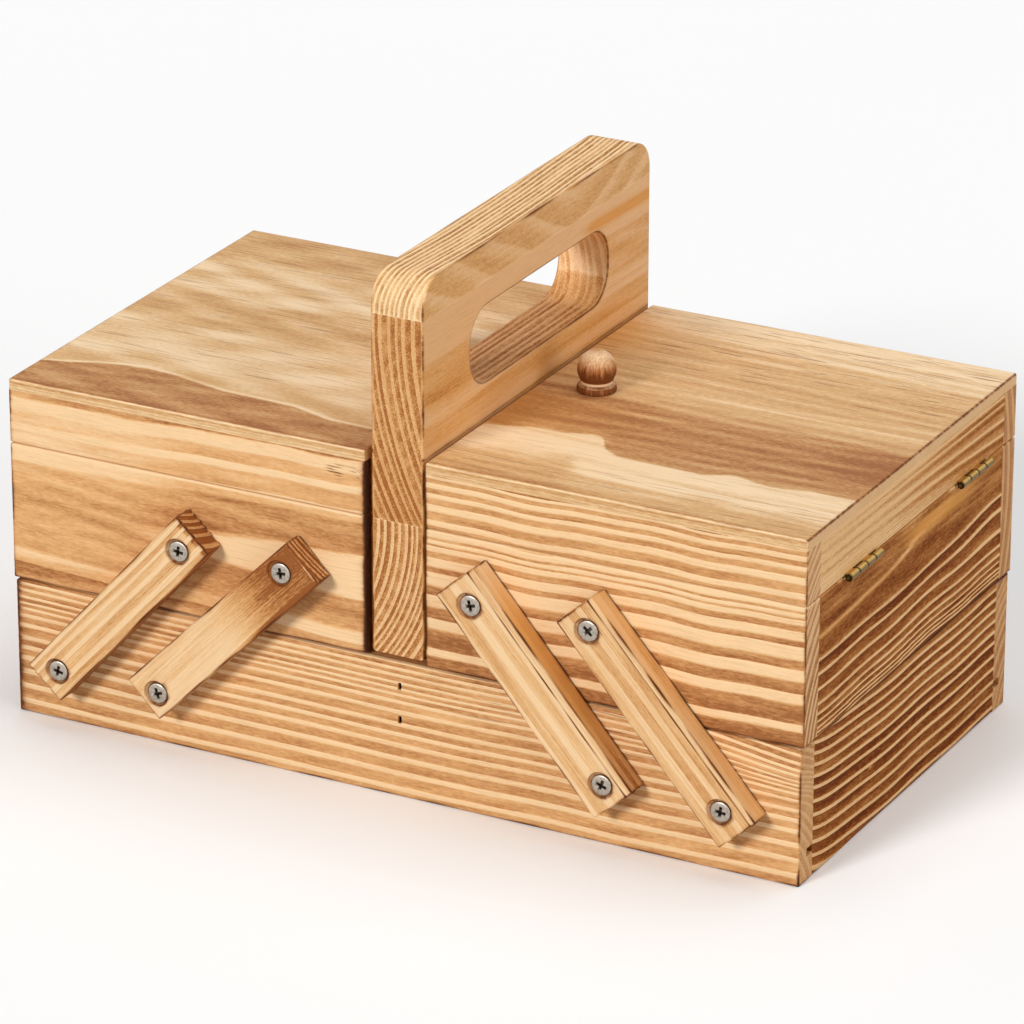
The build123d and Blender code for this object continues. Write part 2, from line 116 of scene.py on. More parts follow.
sun("key_lamp", (-0.28, -1.0, 0.46), 0.67, 16)
sun("top_lamp", (0.12, 0.25, 1.0), 0.38, 50)
sun("side_lamp", (1.0, -0.35, 0.35), 0.3, 40)

# %% [markdown]
# The world gives the rest of the light, evenly. The camera and the reflections see it, and the floor, as
# plain white, so the background is white without more light on the object.

# %% World and floor
WORLD_LIGHT = 0.27
FLOOR_GREY = (0.52, 0.54)
FLOOR_LIFT = 0.44


def tree_of(block):
    """The node tree of a new material or world, emptied."""
    block.use_nodes = True
    block.node_tree.nodes.clear()
    return block.node_tree


def plug(tree, socket, value):
    """Gives an input a value, or links it to a socket."""
    if isinstance(value, bpy.types.NodeSocket):
        tree.links.new(value, socket)
    else:
        socket.default_value = value


def add(tree, kind, settings=None, **inputs):
    """A shader node with its settings and inputs. Inputs are named, or numbered as i0, i1 and so on."""
    made = tree.nodes.new("ShaderNode" + kind)
    for key, value in (settings or {}).items():
        setattr(made, key, value)
    for key, value in inputs.items():
        numbered = key[0] == "i" and key[1:].isdigit()
        plug(tree, made.inputs[int(key[1:]) if numbered else key.replace("_", " ")], value)
    return made


def calc(tree, operation, *values, clamp=False):
    """One step of arithmetic in a node tree."""
    inputs = {f"i{n}": value for n, value in enumerate(values)}
    return add(tree, "Math", {"operation": operation, "use_clamp": clamp}, **inputs).outputs[0]


def looked_at(tree):
    """1 for rays that see the background: from the camera, from gloss and through glass."""
    rays = add(tree, "LightPath")
    seen = calc(tree, "MAXIMUM", rays.outputs["Is Camera Ray"], rays.outputs["Is Glossy Ray"])
    return calc(tree, "MAXIMUM", seen, rays.outputs["Is Transmission Ray"])


def to_object(shape, name):
    """Ends a bmesh as an object in the scene."""
    mesh = bpy.data.meshes.new(name)
    shape.to_mesh(mesh)
    shape.free()
    return show(name, mesh)


world = bpy.data.worlds.new("studio")
bpy.context.scene.world = world
tree = tree_of(world)
strength = calc(tree, "MULTIPLY_ADD", looked_at(tree), 1 - WORLD_LIGHT, WORLD_LIGHT)
sky = add(tree, "Background", Color=(1, 1, 1, 1), Strength=strength)
add(tree, "OutputWorld", Surface=sky.outputs[0])

shape = bmesh.new()
bmesh.ops.create_grid(shape, x_segments=4, y_segments=4, size=3.0)
floor = to_object(shape, "floor")
paper = bpy.data.materials.new("white_paper")
tree = tree_of(paper)
spot = add(tree, "TexCoord")
mottle = add(tree, "TexNoise", Vector=spot.outputs["Object"], Scale=3.0, Detail=2.0)
shade = add(tree, "MapRange", Value=mottle.outputs["Fac"], To_Min=FLOOR_GREY[0], To_Max=FLOOR_GREY[1])
white = calc(tree, "MULTIPLY_ADD", looked_at(tree), FLOOR_LIFT, shade.outputs[0])
surface = add(tree, "BsdfDiffuse", Color=white)
add(tree, "OutputMaterial", Surface=surface.outputs[0])
floor.data.materials.append(paper)
print("Floor of", len(floor.data.polygons), "faces")

# %% [markdown]
# ## Whose place a piece takes
# Every new piece stands for a CAD node and rides on that node's body. The record knows each node's body and
# material slot: one helper places every new piece, and the slots give the kept CAD nodes their finish.

# %% Placing
body_of = {node: body for body, members in record["behaviour"]["bodies"].items() for node in members}
slot_of = {part["node"]: part["material_slot"] for part in record["subparts"]}


def corners(node):
    """Lowest and highest corner of a CAD node in millimetres."""
    low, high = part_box(node)
    return np.array(low) * 1000, np.array(high) * 1000


def side_at(node, side):
    """Where a side of a CAD node lies, in millimetres. A side is an axis letter with its sign, such as -y."""
    return round(float(corners(node)[side[0] == "+"]["xyz".index(side[1])]), 4)


def stand_in(piece, node, material):
    """Shows the piece in place of the CAD node."""
    piece.data.materials.clear()
    piece.data.materials.append(material)
    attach(piece, body_of[node])
    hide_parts(node)
    print(f"{piece.name}: {len(piece.data.polygons)} faces for {node} on {body_of[node]}")


def points(mesh):
    """The mesh's vertices in millimetres, one row each."""
    flat = np.empty(len(mesh.vertices) * 3)
    mesh.vertices.foreach_get("co", flat)
    return flat.reshape(-1, 3) * 1000


def set_points(mesh, co):
    """Moves the vertices to these places in millimetres."""
    mesh.vertices.foreach_set("co", (co / 1000).ravel())
    mesh.update()


# %% [markdown]
# ## Soft shapes
# A flame leaves no sharp edges, and neither does a brush. Everything that they did is put together from a
# few soft functions: a step, a band, a bell, a fading and clouds.

# %% Soft shapes
def smooth(start, end, value):
    """Runs softly from 0 at start to 1 at end."""
    t = np.clip((value - start) / (end - start), 0, 1)
    return t * t * (3 - 2 * t)


def bell(away, width, power=2):
    """1 where away is 0, and nearly 0 past the width. A power of 4 has a flat top and steeper sides."""
    return np.exp(-((away / width) ** power))


def fading(away, length):
    """1 where away is 0, and less with each length."""
    return np.exp(-away / length)


def between(value, start, full, fall, end):
    """Rises softly from start to full and goes back from fall to end."""
    return smooth(start, full, value) * (1 - smooth(fall, end, value))


def clouds(seed, *axes):
    """Slow change between about -1 and 1. Each axis is a pair: places and their wavelength in millimetres."""
    rng = np.random.default_rng(seed)
    total = 0
    for _ in range(5):
        turns = sum(places / size * rng.uniform(0.5, 1.7) * rng.choice((-1, 1)) for places, size in axes)
        total = total + np.sin(2 * np.pi * (turns + rng.uniform()))
    return total / 2.6


print("Halfway up a soft step:", smooth(0, 1, 0.5))

# %% [markdown]
# ## The trunk
# A trunk grows a ring each year round its heart. On a sawn board the rings show as lines along the grain, as
# arches where the cut runs close to the heart, and as arcs on the end grain. If every point of a board knows
# its distance from the heart, all three come out by themselves and agree round the corners. A trunk here is
# a heart line, the radii where pale late wood and dark early wood begin in turn from the bark inwards, a
# slow sway of the grain and a taper.

# %% The trunk
LATE = 0.38
YEARS_OUTSIDE = 120


class Trunk:
    """grain: the axis that it grew along. heart: the middle of its rings on the other two axes. marks:
    radii, falling, where late wood and early wood begin in turn. sway: points in, shifts on the other two
    axes out. taper: how fast the rings grow along the grain, and from where. depths: how brown each ring is.
    straight: the fibres don't sway."""

    def __init__(self, grain, heart, marks, sway=None, taper=(0, 0), depths=(), straight=False, seed=1):
        self.grain, self.heart, self.sway, self.taper, self.straight = grain, heart, sway, taper, straight
        self.across = [axis for axis in range(3) if axis != grain]
        rng = np.random.default_rng(seed)
        marks = list(marks)
        year = (marks[0] - marks[-1]) / max(1, len(marks) - 1) * 2
        outer, inner = [marks[0]], [marks[-1]]
        late = len(marks) % 2 == 1
        for _ in range(YEARS_OUTSIDE):
            for share in (1 - LATE, LATE):
                outer.append(outer[-1] + year * rng.uniform(0.7, 1.3) * share)
        while inner[-1] > -200:
            inner.append(inner[-1] - year * rng.uniform(0.7, 1.3) * (LATE if late else 1 - LATE))
            late = not late
        self.radii = np.array(outer[:0:-1] + marks + inner[1:])
        self.numbers = (np.arange(len(self.radii)) - (len(outer) - 1)) / 2
        self.depths, self.seed = np.array(depths), seed

    def depth(self, ring):
        """How brown each ring is burnt: 1 is usual."""
        year = np.floor(ring).astype(int)
        rng = np.random.default_rng(self.seed + 7)
        usual = rng.uniform(0.72, 1.08, 997)[(year + 300) % 997]
        if not len(self.depths):
            return usual
        known = (year >= 0) & (year < len(self.depths))
        return np.where(known, self.depths[np.clip(year, 0, len(self.depths) - 1)], usual)

    def read(self, co):
        """Ring number and grain coordinates at each point."""
        along = co[:, self.grain]
        first, second = self.sway(co) if self.sway else (0 * along, 0 * along)
        p, q = co[:, self.across[0]] - first, co[:, self.across[1]] - second
        radius = np.hypot(p - self.heart[0], q - self.heart[1]) + self.taper[0] * (along - self.taper[1])
        ring = np.interp(-radius, -self.radii, self.numbers)
        if self.straight:
            p, q = co[:, self.across[0]], co[:, self.across[1]]
        return ring, np.stack((along, p, q), 1)


def common_trunk(grain, heart, outermost, year, seed, sway=None):
    """A trunk whose rings follow no pattern. outermost: the radius to start from. year: the usual width of a
    ring."""
    rng = np.random.default_rng(seed)
    marks = [outermost]
    while marks[-1] > 4:
        width = year * rng.uniform(0.55, 1.5)
        marks += [marks[-1] - width * LATE, marks[-1] - width]
    return Trunk(grain, heart, marks, sway, seed=seed)


print("A trunk has", len(common_trunk(0, (0, 0), 120, 4.0, 3).radii) // 2, "years to saw from")

# %% [markdown]
# ## Boards
# A board is a box with a fine grid on every side, because the rings are pressed into its faces afterwards.
# `create_cube` and `subdivide_edges` make the grid, and then each grid line is moved to its place. Lines are
# closer together across the grain than along it, and closest near the edges, which are rounded by pulling
# them towards a smaller box inside.

# %% Boards
NEAR_EDGE = (0.0, 0.15, 0.35, 0.6)
NEAR_END = NEAR_EDGE + (1.1, 1.8, 2.8, 4.2)


def grid_lines(low, high, step, near=NEAR_EDGE):
    """Places of the grid lines from low to high."""
    near = np.array(near)
    count = max(2, int(round((high - low - 2 * near[-1]) / step)) + 1)
    middle = np.linspace(low + near[-1], high - near[-1], count)
    return np.concatenate((low + near[:-1], middle, (high - near[:-1])[::-1]))


def split(shape, axis, cuts):
    """Cuts those edges of a shape of size 1 that run along this axis."""
    edges = [edge for edge in shape.edges if abs(edge.verts[0].co[axis] - edge.verts[1].co[axis]) > 0.9]
    bmesh.ops.subdivide_edges(shape, edges=edges, cuts=cuts)


def block(name, lines):
    """A box of quads with a grid line at each of these places along x, y and z."""
    shape = bmesh.new()
    bmesh.ops.create_cube(shape, size=1)
    for axis in range(3):
        split(shape, axis, len(lines[axis]) - 2)
    made = to_object(shape, name)
    co = points(made.data) / 1000
    for axis in range(3):
        place = np.rint((co[:, axis] + 0.5) * (len(lines[axis]) - 1)).astype(int)
        co[:, axis] = lines[axis][place]
    set_points(made.data, co)
    return made


def ease(co, low, high, radius, eased):
    """Rounds the edges between sides that are eased."""
    room = [[radius if sign + axis in eased else 0 for axis in "xyz"] for sign in "-+"]
    inside = np.clip(co, low + room[0], high - np.array(room[1]))
    out = co - inside
    length = np.linalg.norm(out, axis=1)
    scale = np.where(length > 0, np.abs(out).max(axis=1) / np.maximum(length, 1e-9), 1)
    return inside + out * scale[:, None]


def depth_below(co, low, high, side):
    """How deep each point lies below this side of the board."""
    axis = "xyz".index(side[1])
    return high[axis] - co[:, axis] if side[0] == "+" else co[:, axis] - low[axis]


print("Grid lines of a short edge:", grid_lines(0, 5, 1))

# %% [markdown]
# Booleans cut the pockets and holes. Both cutters here are simple: a plain box, and an outline turned on a
# lathe, for which bmesh has `spin`.

# %% Cutting
def slug(low, high):
    """A plain box for cutting, in millimetres."""
    shape = bmesh.new()
    bmesh.ops.create_cube(shape, size=1)
    low, high = np.array(low), np.array(high)
    bmesh.ops.scale(shape, vec=tuple((high - low) / 1000), verts=shape.verts)
    bmesh.ops.translate(shape, vec=tuple((high + low) / 2000), verts=shape.verts)
    return to_object(shape, "slug")


def lathe(outline, steps):
    """An outline of radii and heights in millimetres, turned round the z axis."""
    shape = bmesh.new()
    made = [shape.verts.new((r / 1000, 0, z / 1000)) for r, z in outline]
    edges = [shape.edges.new(pair) for pair in zip(made, made[1:])]
    circle = {"cent": (0, 0, 0), "axis": (0, 0, 1), "angle": 2 * math.pi}
    bmesh.ops.spin(shape, geom=made + edges, steps=steps, use_merge=True, **circle)
    bmesh.ops.remove_doubles(shape, verts=shape.verts, dist=1e-6)
    bmesh.ops.recalc_face_normals(shape, faces=shape.faces)
    return shape


def cut_away(piece, cutters):
    """Takes the cutters' shapes out of the piece and throws the cutters away."""
    for cutter in cutters:
        tool = piece.modifiers.new("cut", "BOOLEAN")
        tool.operation, tool.object, tool.solver = "DIFFERENCE", cutter, "EXACT"
    seen = piece.evaluated_get(bpy.context.evaluated_depsgraph_get())
    mesh = bpy.data.meshes.new_from_object(seen)
    piece.modifiers.clear()
    piece.data = mesh
    for cutter in cutters:
        bpy.data.objects.remove(cutter)


print("Cutters: slug, lathe")

# %% [markdown]
# ## Grain on a board
# `dress` writes what the finish needs to know as attributes: the ring number, the place in the grain, how
# brown the ring is, a brown wash that lies over the rings, how close an edge is where the flame charred it,
# amber resin, resin canals, and how far inside the box a point lies, where the wood stays raw. Then it
# presses the soft early wood in, which leaves the late wood standing as ridges, as the wire brush does. A
# look is a number, or a function that gives one for every point. In a few places the wash, the char and the
# amber also carry painted shade and painted highlights: along arrises, by the handle and the knob, in the
# hand hole and on the lower sides of the left arms.

# %% Grain on a board
PRESSED_TO = 0.9
SHARP_ANGLE = math.radians(55)


def look_at(look, co):
    """The value of a look at every point."""
    return look(co) if callable(look) else np.full(len(co), float(look))


def put(mesh, name, values):
    """Writes values on the vertices, under this name."""
    kind = "FLOAT_VECTOR" if values.ndim == 2 else "FLOAT"
    made = mesh.attributes.new(name, kind, "POINT")
    made.data.foreach_set("vector" if values.ndim == 2 else "value", values.astype(np.float32).ravel())


def level_off(piece, name):
    """Sets one attribute to zero everywhere."""
    piece.data.attributes[name].data.foreach_set("value",
                                                 np.zeros(len(piece.data.vertices), dtype=np.float32))


def finish_mesh(mesh):
    """Soft shading, with the sharp edges kept."""
    mesh.shade_smooth()
    mesh.set_sharp_from_angle(angle=SHARP_ANGLE)


def dress(piece, trunk, low, high, shown, pressed, calm=(), burn=0.7, width=0.5, ends=0.3, fade=0.6, tone=0,
          **looks):
    """shown: sides that the flame reached. pressed: sides that the brush worked, with the depth in
    millimetres. calm: shown sides without a charred edge. burn and width: of the charred edges. ends: wash
    on the end grain, and fade: how much of its rings it hides. tone: adds to the brown of the rings. looks:
    wash, char, amber and canals."""
    mesh = piece.data
    co = points(mesh)
    look = lambda key: look_at(looks.get(key, 0), co)
    x, y, z = co.T
    ring, fibre = trunk.read(co)
    year = ring - np.floor(ring)
    uneven = clouds(trunk.seed + 3, (fibre[:, 0], 60), (fibre[:, 1], 9), (fibre[:, 2], 9))
    brown = trunk.depth(ring) + 0.12 * uneven + look_at(tone, co)
    depths = {side: np.clip(depth_below(co, low, high, side), 0, None) for side in shown}
    inward = np.min(list(depths.values()), axis=0)
    burning = np.sort([depths[side] for side in shown if side not in calm], axis=0)
    edge = burning[1] if len(burning) > 1 else 99 + 0 * inward
    patchy = 0.75 + 0.45 * clouds(trunk.seed + 5, (x, 31), (y, 37), (z, 29))
    grain_ends = [depths[side] for side in shown if "xyz".index(side[1]) == trunk.grain]
    on_end = fading(np.min(grain_ends, axis=0), 0.3) if grain_ends else 0 * inward
    brown = np.clip(brown, 0, None) * (1 - fade * on_end)
    put(mesh, "ring", ring)
    put(mesh, "fibre", fibre)
    put(mesh, "brown", brown)
    put(mesh, "wash", look("wash") + ends * on_end)
    put(mesh, "scorch", burn * fading(edge, width) * patchy * (inward < 2) + look("char"))
    put(mesh, "amber", look("amber"))
    put(mesh, "canals", look("canals"))
    put(mesh, "raw", smooth(1.0, 5.0, inward))
    valley = between(year, 0.44, 0.66, 0.94, 1.0) * np.clip(brown, 0.25, 1.1)
    for side, deep in pressed.items():
        weight = np.clip(1 - depth_below(co, low, high, side) / PRESSED_TO, 0, 1)
        co[:, "xyz".index(side[1])] += (-1 if side[0] == "+" else 1) * deep * weight * valley
    set_points(mesh, co)
    finish_mesh(mesh)


print("Grain attributes: ring, fibre, brown, wash, scorch, amber, canals, raw")

# %% [markdown]
# ## The finish of flamed pine
# The finish reads the ring number and turns each ring into a pale, crisp late wood edge that fades into
# burnt early wood. Noise that is stretched along the grain frays the rings, adds fibres and scatters short
# dark resin canals. Everything is measured along the grain of the board, so the pattern bends where the wood
# does. Each group of boards has its own four colours.

# %% Colours and noise
def colour(*srgb):
    """A colour given as 0 to 255 values of a picture, made linear."""
    parts = [value / 255 for value in srgb]
    return tuple(p / 12.92 if p <= 0.04045 else ((p + 0.055) / 1.055) ** 2.4 for p in parts) + (1.0,)


def ramp(tree, value, *stops):
    """A colour ramp with stops of place and colour."""
    made = add(tree, "ValToRGB", i0=value)
    marks = made.color_ramp.elements
    while len(marks) < len(stops):
        marks.new(0.5)
    for mark, (place, shade) in zip(marks, stops):
        mark.position = place
        mark.color = shade if isinstance(shade, tuple) else (shade, shade, shade, 1)
    return made.outputs[0]


def span(tree, value, **limits):
    """Maps a value from one span to another."""
    return add(tree, "MapRange", Value=value, **limits).outputs[0]


def stretched(tree, fibre, scale, detail=2.0, rough=0.5):
    """Noise whose size differs along and across the grain. scale is in turns per millimetre."""
    spread = add(tree, "VectorMath", {"operation": "MULTIPLY"}, i0=fibre, i1=scale).outputs[0]
    made = add(tree, "TexNoise", Vector=spread, Scale=1.0, Detail=detail, Roughness=rough)
    return made.outputs["Fac"]


def blend(tree, share, first, second, kind="MIX"):
    """Mixes two colours."""
    settings = {"data_type": "RGBA", "blend_type": kind}
    return add(tree, "Mix", settings, i0=share, i6=first, i7=second).outputs[2]


def skin(tree, bump, **inputs):
    """Ends a material. bump: strength, distance in metres and height."""
    relief = add(tree, "Bump", **dict(zip(("Strength", "Distance", "Height"), bump))).outputs[0]
    made = add(tree, "BsdfPrincipled", Normal=relief, **inputs)
    add(tree, "OutputMaterial", Surface=made.outputs[0])


print("A middle grey, linear:", round(colour(128, 128, 128)[0], 3))

# %% [markdown]
# The rings come first, as brown that is 0 in late wood and up to 1 in early wood. The canals, the amber, the
# raw wood inside and last the charred edges go over them.

# %% Flamed pine
RING = ((0.0, 0.0), (0.44, 0.06), (0.54, 0.76), (0.72, 0.86), (0.965, 1.0), (1.0, 0.0))
RAW = colour(226, 190, 140)
AMBER = colour(228, 158, 76)
BURNT = colour(132, 74, 32)
CHAR = colour(62, 33, 17)
CANAL = colour(142, 86, 50)


def pine(name, *colours, profile=RING, fray=0.05, streaks=0.13, mottle=0.9, wide=0.3, resin=0.6, rough=0.52,
         sheen=0.14, drift=(0.012, 0.11, 0.11)):
    """Material for boards that were dressed. colours: four, from pale to deep brown. profile: the brown
    through one ring. fray: how far noise moves the rings. streaks, mottle and wide: noise in fibres, specks
    and broad clouds, whose scale is drift. resin: how strong the canals are."""
    made = bpy.data.materials.new(name)
    tree = tree_of(made)
    pale, tan, brown, deep = (colour(*shade) for shade in colours)
    names = ("ring", "fibre", "brown", "wash", "scorch", "amber", "canals", "raw")
    read = {key: add(tree, "Attribute", {"attribute_name": key}).outputs for key in names}
    fibre = read["fibre"]["Vector"]
    level = {key: read[key]["Fac"] for key in names}
    noise = lambda *how: stretched(tree, fibre, *how)
    centred = lambda *how: calc(tree, "SUBTRACT", noise(*how), 0.5)
    times = lambda *values: calc(tree, "MULTIPLY", *values, clamp=True)
    plus = lambda value, share, rest, **how: calc(tree, "MULTIPLY_ADD", value, share, rest, **how)

    ring = plus(centred((0.07, 1.2, 1.2), 3.0), fray, level["ring"])
    burnt = plus(ramp(tree, calc(tree, "FRACT", ring), *profile), level["brown"], level["wash"])
    burnt = plus(centred((0.022, 1.7, 1.7), 4.0, 0.65), streaks * 2, burnt)
    burnt = plus(centred(drift, 2.0), wide, burnt)
    speck = calc(tree, "MULTIPLY", centred((0.4, 1.9, 1.9), 2.0, 0.6), calc(tree, "ADD", burnt, 0.3))
    burnt = plus(speck, mottle, burnt, clamp=True)
    flamed = ramp(tree, burnt, (0.0, pale), (0.33, tan), (0.72, brown), (1.0, deep))

    canals = ramp(tree, noise((0.045, 1.5, 1.5), 1.0), (0.0, 0.0), (0.61, 0.0), (0.67, 1.0), (1.0, 1.0))
    flamed = blend(tree, times(plus(level["canals"], resin, 0.08), canals), flamed, CANAL)
    flamed = blend(tree, times(level["amber"], 1.0), flamed, AMBER)
    pores = noise((0.11, 2.8, 2.8), 3.0, 0.7)
    flamed = blend(tree, 1.0, flamed, ramp(tree, pores, (0.0, 0.72), (0.48, 0.98), (1.0, 1.08)), "MULTIPLY")
    inner = blend(tree, calc(tree, "MULTIPLY", burnt, 0.45), RAW, brown)
    wood = blend(tree, calc(tree, "MULTIPLY", level["raw"], 0.85), flamed, inner)

    ragged = plus(centred((0.08, 0.5, 0.5), 3.0), 0.9, level["scorch"])
    charred = times(ragged, times(level["scorch"], 2.5))
    wood = blend(tree, times(charred, 1.6), wood, BURNT)
    wood = blend(tree, plus(charred, 1.8, -0.81, clamp=True), wood, CHAR)
    gloss = span(tree, burnt, To_Min=rough - 0.06, To_Max=rough + 0.12)
    lift = plus(burnt, -0.5, calc(tree, "MULTIPLY", pores, 0.35))
    skin(tree, (0.45, 0.00025, lift), Base_Color=wood, Roughness=gloss, Specular_IOR_Level=sheen)
    return made


front_pine = pine("front_flamed", (244, 206, 158), (227, 174, 117), (190, 132, 80), (156, 98, 54))
end_pine = pine("end_flamed", (247, 201, 144), (202, 136, 72), (148, 82, 28), (108, 47, 8), sheen=0.05)
side_pine = pine("side_flamed", (242, 203, 150), (224, 176, 120), (188, 132, 82), (158, 101, 60))
print("Materials:", [m.name for m in bpy.data.materials])

# %% [markdown]
# ## Sawing and placing a board
# The long boards run past the ends of the short ones and are glued to them, so their end grain shows at the
# corners. Only edges that are free are rounded, and only faces that the flame and brush reached are burnt
# and pressed.

# %% One board from its node
FRONT, BACK = side_at("base_front_board", "-y"), side_at("base_back_board", "+y")
BASE_END, TRAY_END = side_at("base_right_end", "+x"), side_at("right_tray_front", "+x")
NEAR_FRONT = -80


def board(node, trunk, material, shown, pressed, step=(3.0, 0.5, 0.8), radius=0.6, cuts=(), **more):
    """Saws the board that stands for this node. step: of its grid along the grain, across it and through the
    board."""
    low, high = corners(node)
    thin = int(np.argmin(high - low))
    lines = []
    for axis in range(3):
        along = axis == trunk.grain
        size = step[0] if along else step[2] if axis == thin else step[1]
        lines.append(grid_lines(low[axis], high[axis], size, NEAR_END if along else NEAR_EDGE))
    made = block(node.replace("_board", "") + "_wood", lines)
    set_points(made.data, ease(points(made.data), low, high, radius, shown))
    if cuts:
        cut_away(made, cuts)
    dress(made, trunk, low, high, shown, pressed, **more)
    stand_in(made, node, material)


def from_face(marks, heart_up, deep):
    """Marks read as heights on a face, turned into radii from a heart that lies this deep behind the face."""
    return [math.hypot(height - heart_up, deep) for height in marks]


def spot_at(co, y, z, long, tall, power=2):
    """A spot on an end of the box or a side of the handle, 1 in its middle."""
    return bell(co[:, 1] - y, long, power) * bell(co[:, 2] - z, tall)


print("The box reaches from", FRONT, "to", BACK)

# %% [markdown]
# ## The base
# Four boards and a bottom panel in a groove. The groove of the front board runs out at its ends and shows as
# a small dark hole in the end grain. Two brads through the front board hold the handle, each sunk in a slot.
# The rings are given as heights on the front, where late wood and early wood begin in turn.

# %% Base front
SEAM = (side_at("base_front_board", "+z") + side_at("right_tray_front", "-z")) / 2
BASE_MARKS = (
    49.3, 48.2, 46.9, 45.8, 44.1, 43.2, 41.8, 41.0, 39.7, 38.8, 37.2, 36.0, 33.6,
    32.2, 28.9, 27.4, 25.1, 23.7, 21.2, 19.6, 16.2, 14.4, 10.7, 8.9, 4.9, 3.2,
)
BASE_DEPTHS = (0.6, 0.58, 0.66, 0.6, 0.62, 0.56, 0.6, 0.66, 0.58, 0.6, 0.62, 0.56, 0.6)
BRAD_HEIGHTS = (41.2, 28.7)


def base_sway(co):
    x, _, z = co.T
    ripple = 0.22 * np.sin(x / 11.0) * smooth(-20, 100, x) + 0.18 * np.sin(x / 17.0 + 1)
    down = 1.1 * np.sin(np.pi * (x + 152) / 305) + ripple
    return 0 * x, -down - 7.0 * smooth(95, 165, x) * smooth(26, 44, z)


def seam_char(co):
    """The flame licked into the seam between the base and the trays, most at the back of the ends."""
    x, y, z = co.T
    on_end = smooth(151.0, 151.5, np.abs(x))
    far = np.abs(z - SEAM)
    at_end = 0.95 * fading(far, 0.8) * (0.4 + 0.6 * smooth(-80, 20, y))
    return on_end * at_end + (1 - on_end) * 0.4 * fading(far, 0.4)


def left_edge_char(co):
    x = co[:, 0]
    on_face = (co[:, 1] < NEAR_FRONT) * (1 - 0.8 * smooth(-151.1, -151.5, x))
    return 0.8 * fading(x + BASE_END, 2.4) * on_face + seam_char(co)


def groove(near, far):
    """Cutter for the groove of the base's bottom panel, between these places on y."""
    low, high = corners("base_bottom_panel")
    return slug((-160, near, low[2]), (160, far, high[2]))


base_front_log = Trunk(0, (FRONT - 30, -15), from_face(BASE_MARKS, -15, 30), base_sway, depths=BASE_DEPTHS,
                       seed=11)
base_cuts = [groove(FRONT + 5.6, FRONT + 14)]
for up in BRAD_HEIGHTS:
    base_cuts.append(slug((0.3, FRONT - 1, up - 1.4), (1.7, FRONT + 1.2, up + 1.4)))
base_looks = {
    "canals": lambda co: 0.8 * smooth(0, 40, co[:, 0]) * smooth(30, 38, co[:, 2]),
    "char": left_edge_char,
    "tone": lambda co: 0.1 * smooth(-60, -140, co[:, 0]),
}
long_sides = ("-x", "+x", "-z", "+z")
board("base_front_board", base_front_log, front_pine, ("-y",) + long_sides, {"-y": 0.3}, cuts=base_cuts,
      calm=("+z",), burn=1.2, **base_looks)

# %% [markdown]
# The ends stand between the long boards. The rings of the right one were sawn far from the heart, so they
# are nearly level. The back and the left end have rings of their own.

# %% Base back and ends
END_RIDGES = (2.7, 7.7, 12.7, 17.7, 22.7, 27.7, 31.8, 36.0, 40.2, 44.2, 48.0)


def around(ridges, below, above):
    """Marks on both sides of each ridge of late wood."""
    return [height + side for height in ridges for side in (-below, above)]


def end_rise(co):
    """Near the front the rings of the right end rise."""
    y = co[:, 1]
    return 0 * y, 6.5 * fading(y + 76, 21) - 0.9 + 0.3 * np.sin(y / 9.0)


base_back_log = common_trunk(0, (BACK + 40, -20), 130, 4.2, 12)
back_looks = {"burn": 0.9, "char": seam_char, "ends": 0.4}
board("base_back_board", base_back_log, front_pine, ("+y",) + long_sides, {"+y": 0.3},
      cuts=[groove(BACK - 14, BACK - 5.6)], **back_looks)
right_base_log = Trunk(1, (152 - 60, 110), from_face(around(END_RIDGES, 0.4, 0.8), 110, 60), end_rise,
                       seed=13)
left_base_log = common_trunk(1, (-152 + 50, 90), 140, 4.4, 14)
torn = lambda co: -0.7 * spot_at(co, -28.5, 21.0, 1.3, 0.5)
board("base_right_end", right_base_log, end_pine, ("+x", "-z", "+z"), {"+x": 0.34}, wash=torn, char=seam_char)
board("base_left_end", left_base_log, end_pine, ("-x", "-z", "+z"), {"-x": 0.34}, char=seam_char)

# %% [markdown]
# ## The right tray
# The front of the tray and the front strip of its lid were one board before they were sawn apart, so their
# rings run on across the seam. They share one trunk here. So do the boards of the outer end.

# %% Right tray, its rings
RIGHT_MARKS = [126 - down for down in (
    4.5, 5.4, 7.0, 8.9, 10.8, 12.4, 14.7, 17.2, 20.4, 22.4, 24.4, 26.7, 27.5, 29.1,
    29.7, 31.8, 34.1, 37.4, 39.4, 44.4, 47.8, 52.1, 56.4, 60.1, 67.5, 70.1, 76,
)]
RIGHT_DEPTHS = (0.6, 0.66, 0.58, 0.62, 0.6, 0.64, 0.6, 0.66, 0.76, 0.84, 0.9, 0.98, 1.02, 1.02)
FINE_RIDGES = (51.3, 52.7, 54.3, 56.6)
COARSE_RIDGES = (59.3, 62.9, 68.2, 73.8, 78.8)
END_HEART = 96.5


def right_sway(co):
    wave = lambda at: 0.42 * np.sin(at / 11.0) + 0.2 * np.sin(at / 5.1 + 1)
    x = co[:, 0]
    return 0 * x, wave(x) - wave(139.0) - 0.9 * (139 - x) / 128


def end_sway(co):
    """The rings on the right end close in on the heart towards the back."""
    y, up = co[:, 1], co[:, 2] - END_HEART
    closing = 4.6 * smooth(0, 75, y) * (1 - smooth(15, 30, np.abs(up))) * (up < 0)
    ripple = (0.35 * np.sin(y / 8.5) + 0.3 * np.sin(y / 19.0 + 1)
              + 1.3 * smooth(-60, 60, y) * smooth(-14, -30, up))
    return 0 * up, ripple - closing * np.tanh(up / 4)


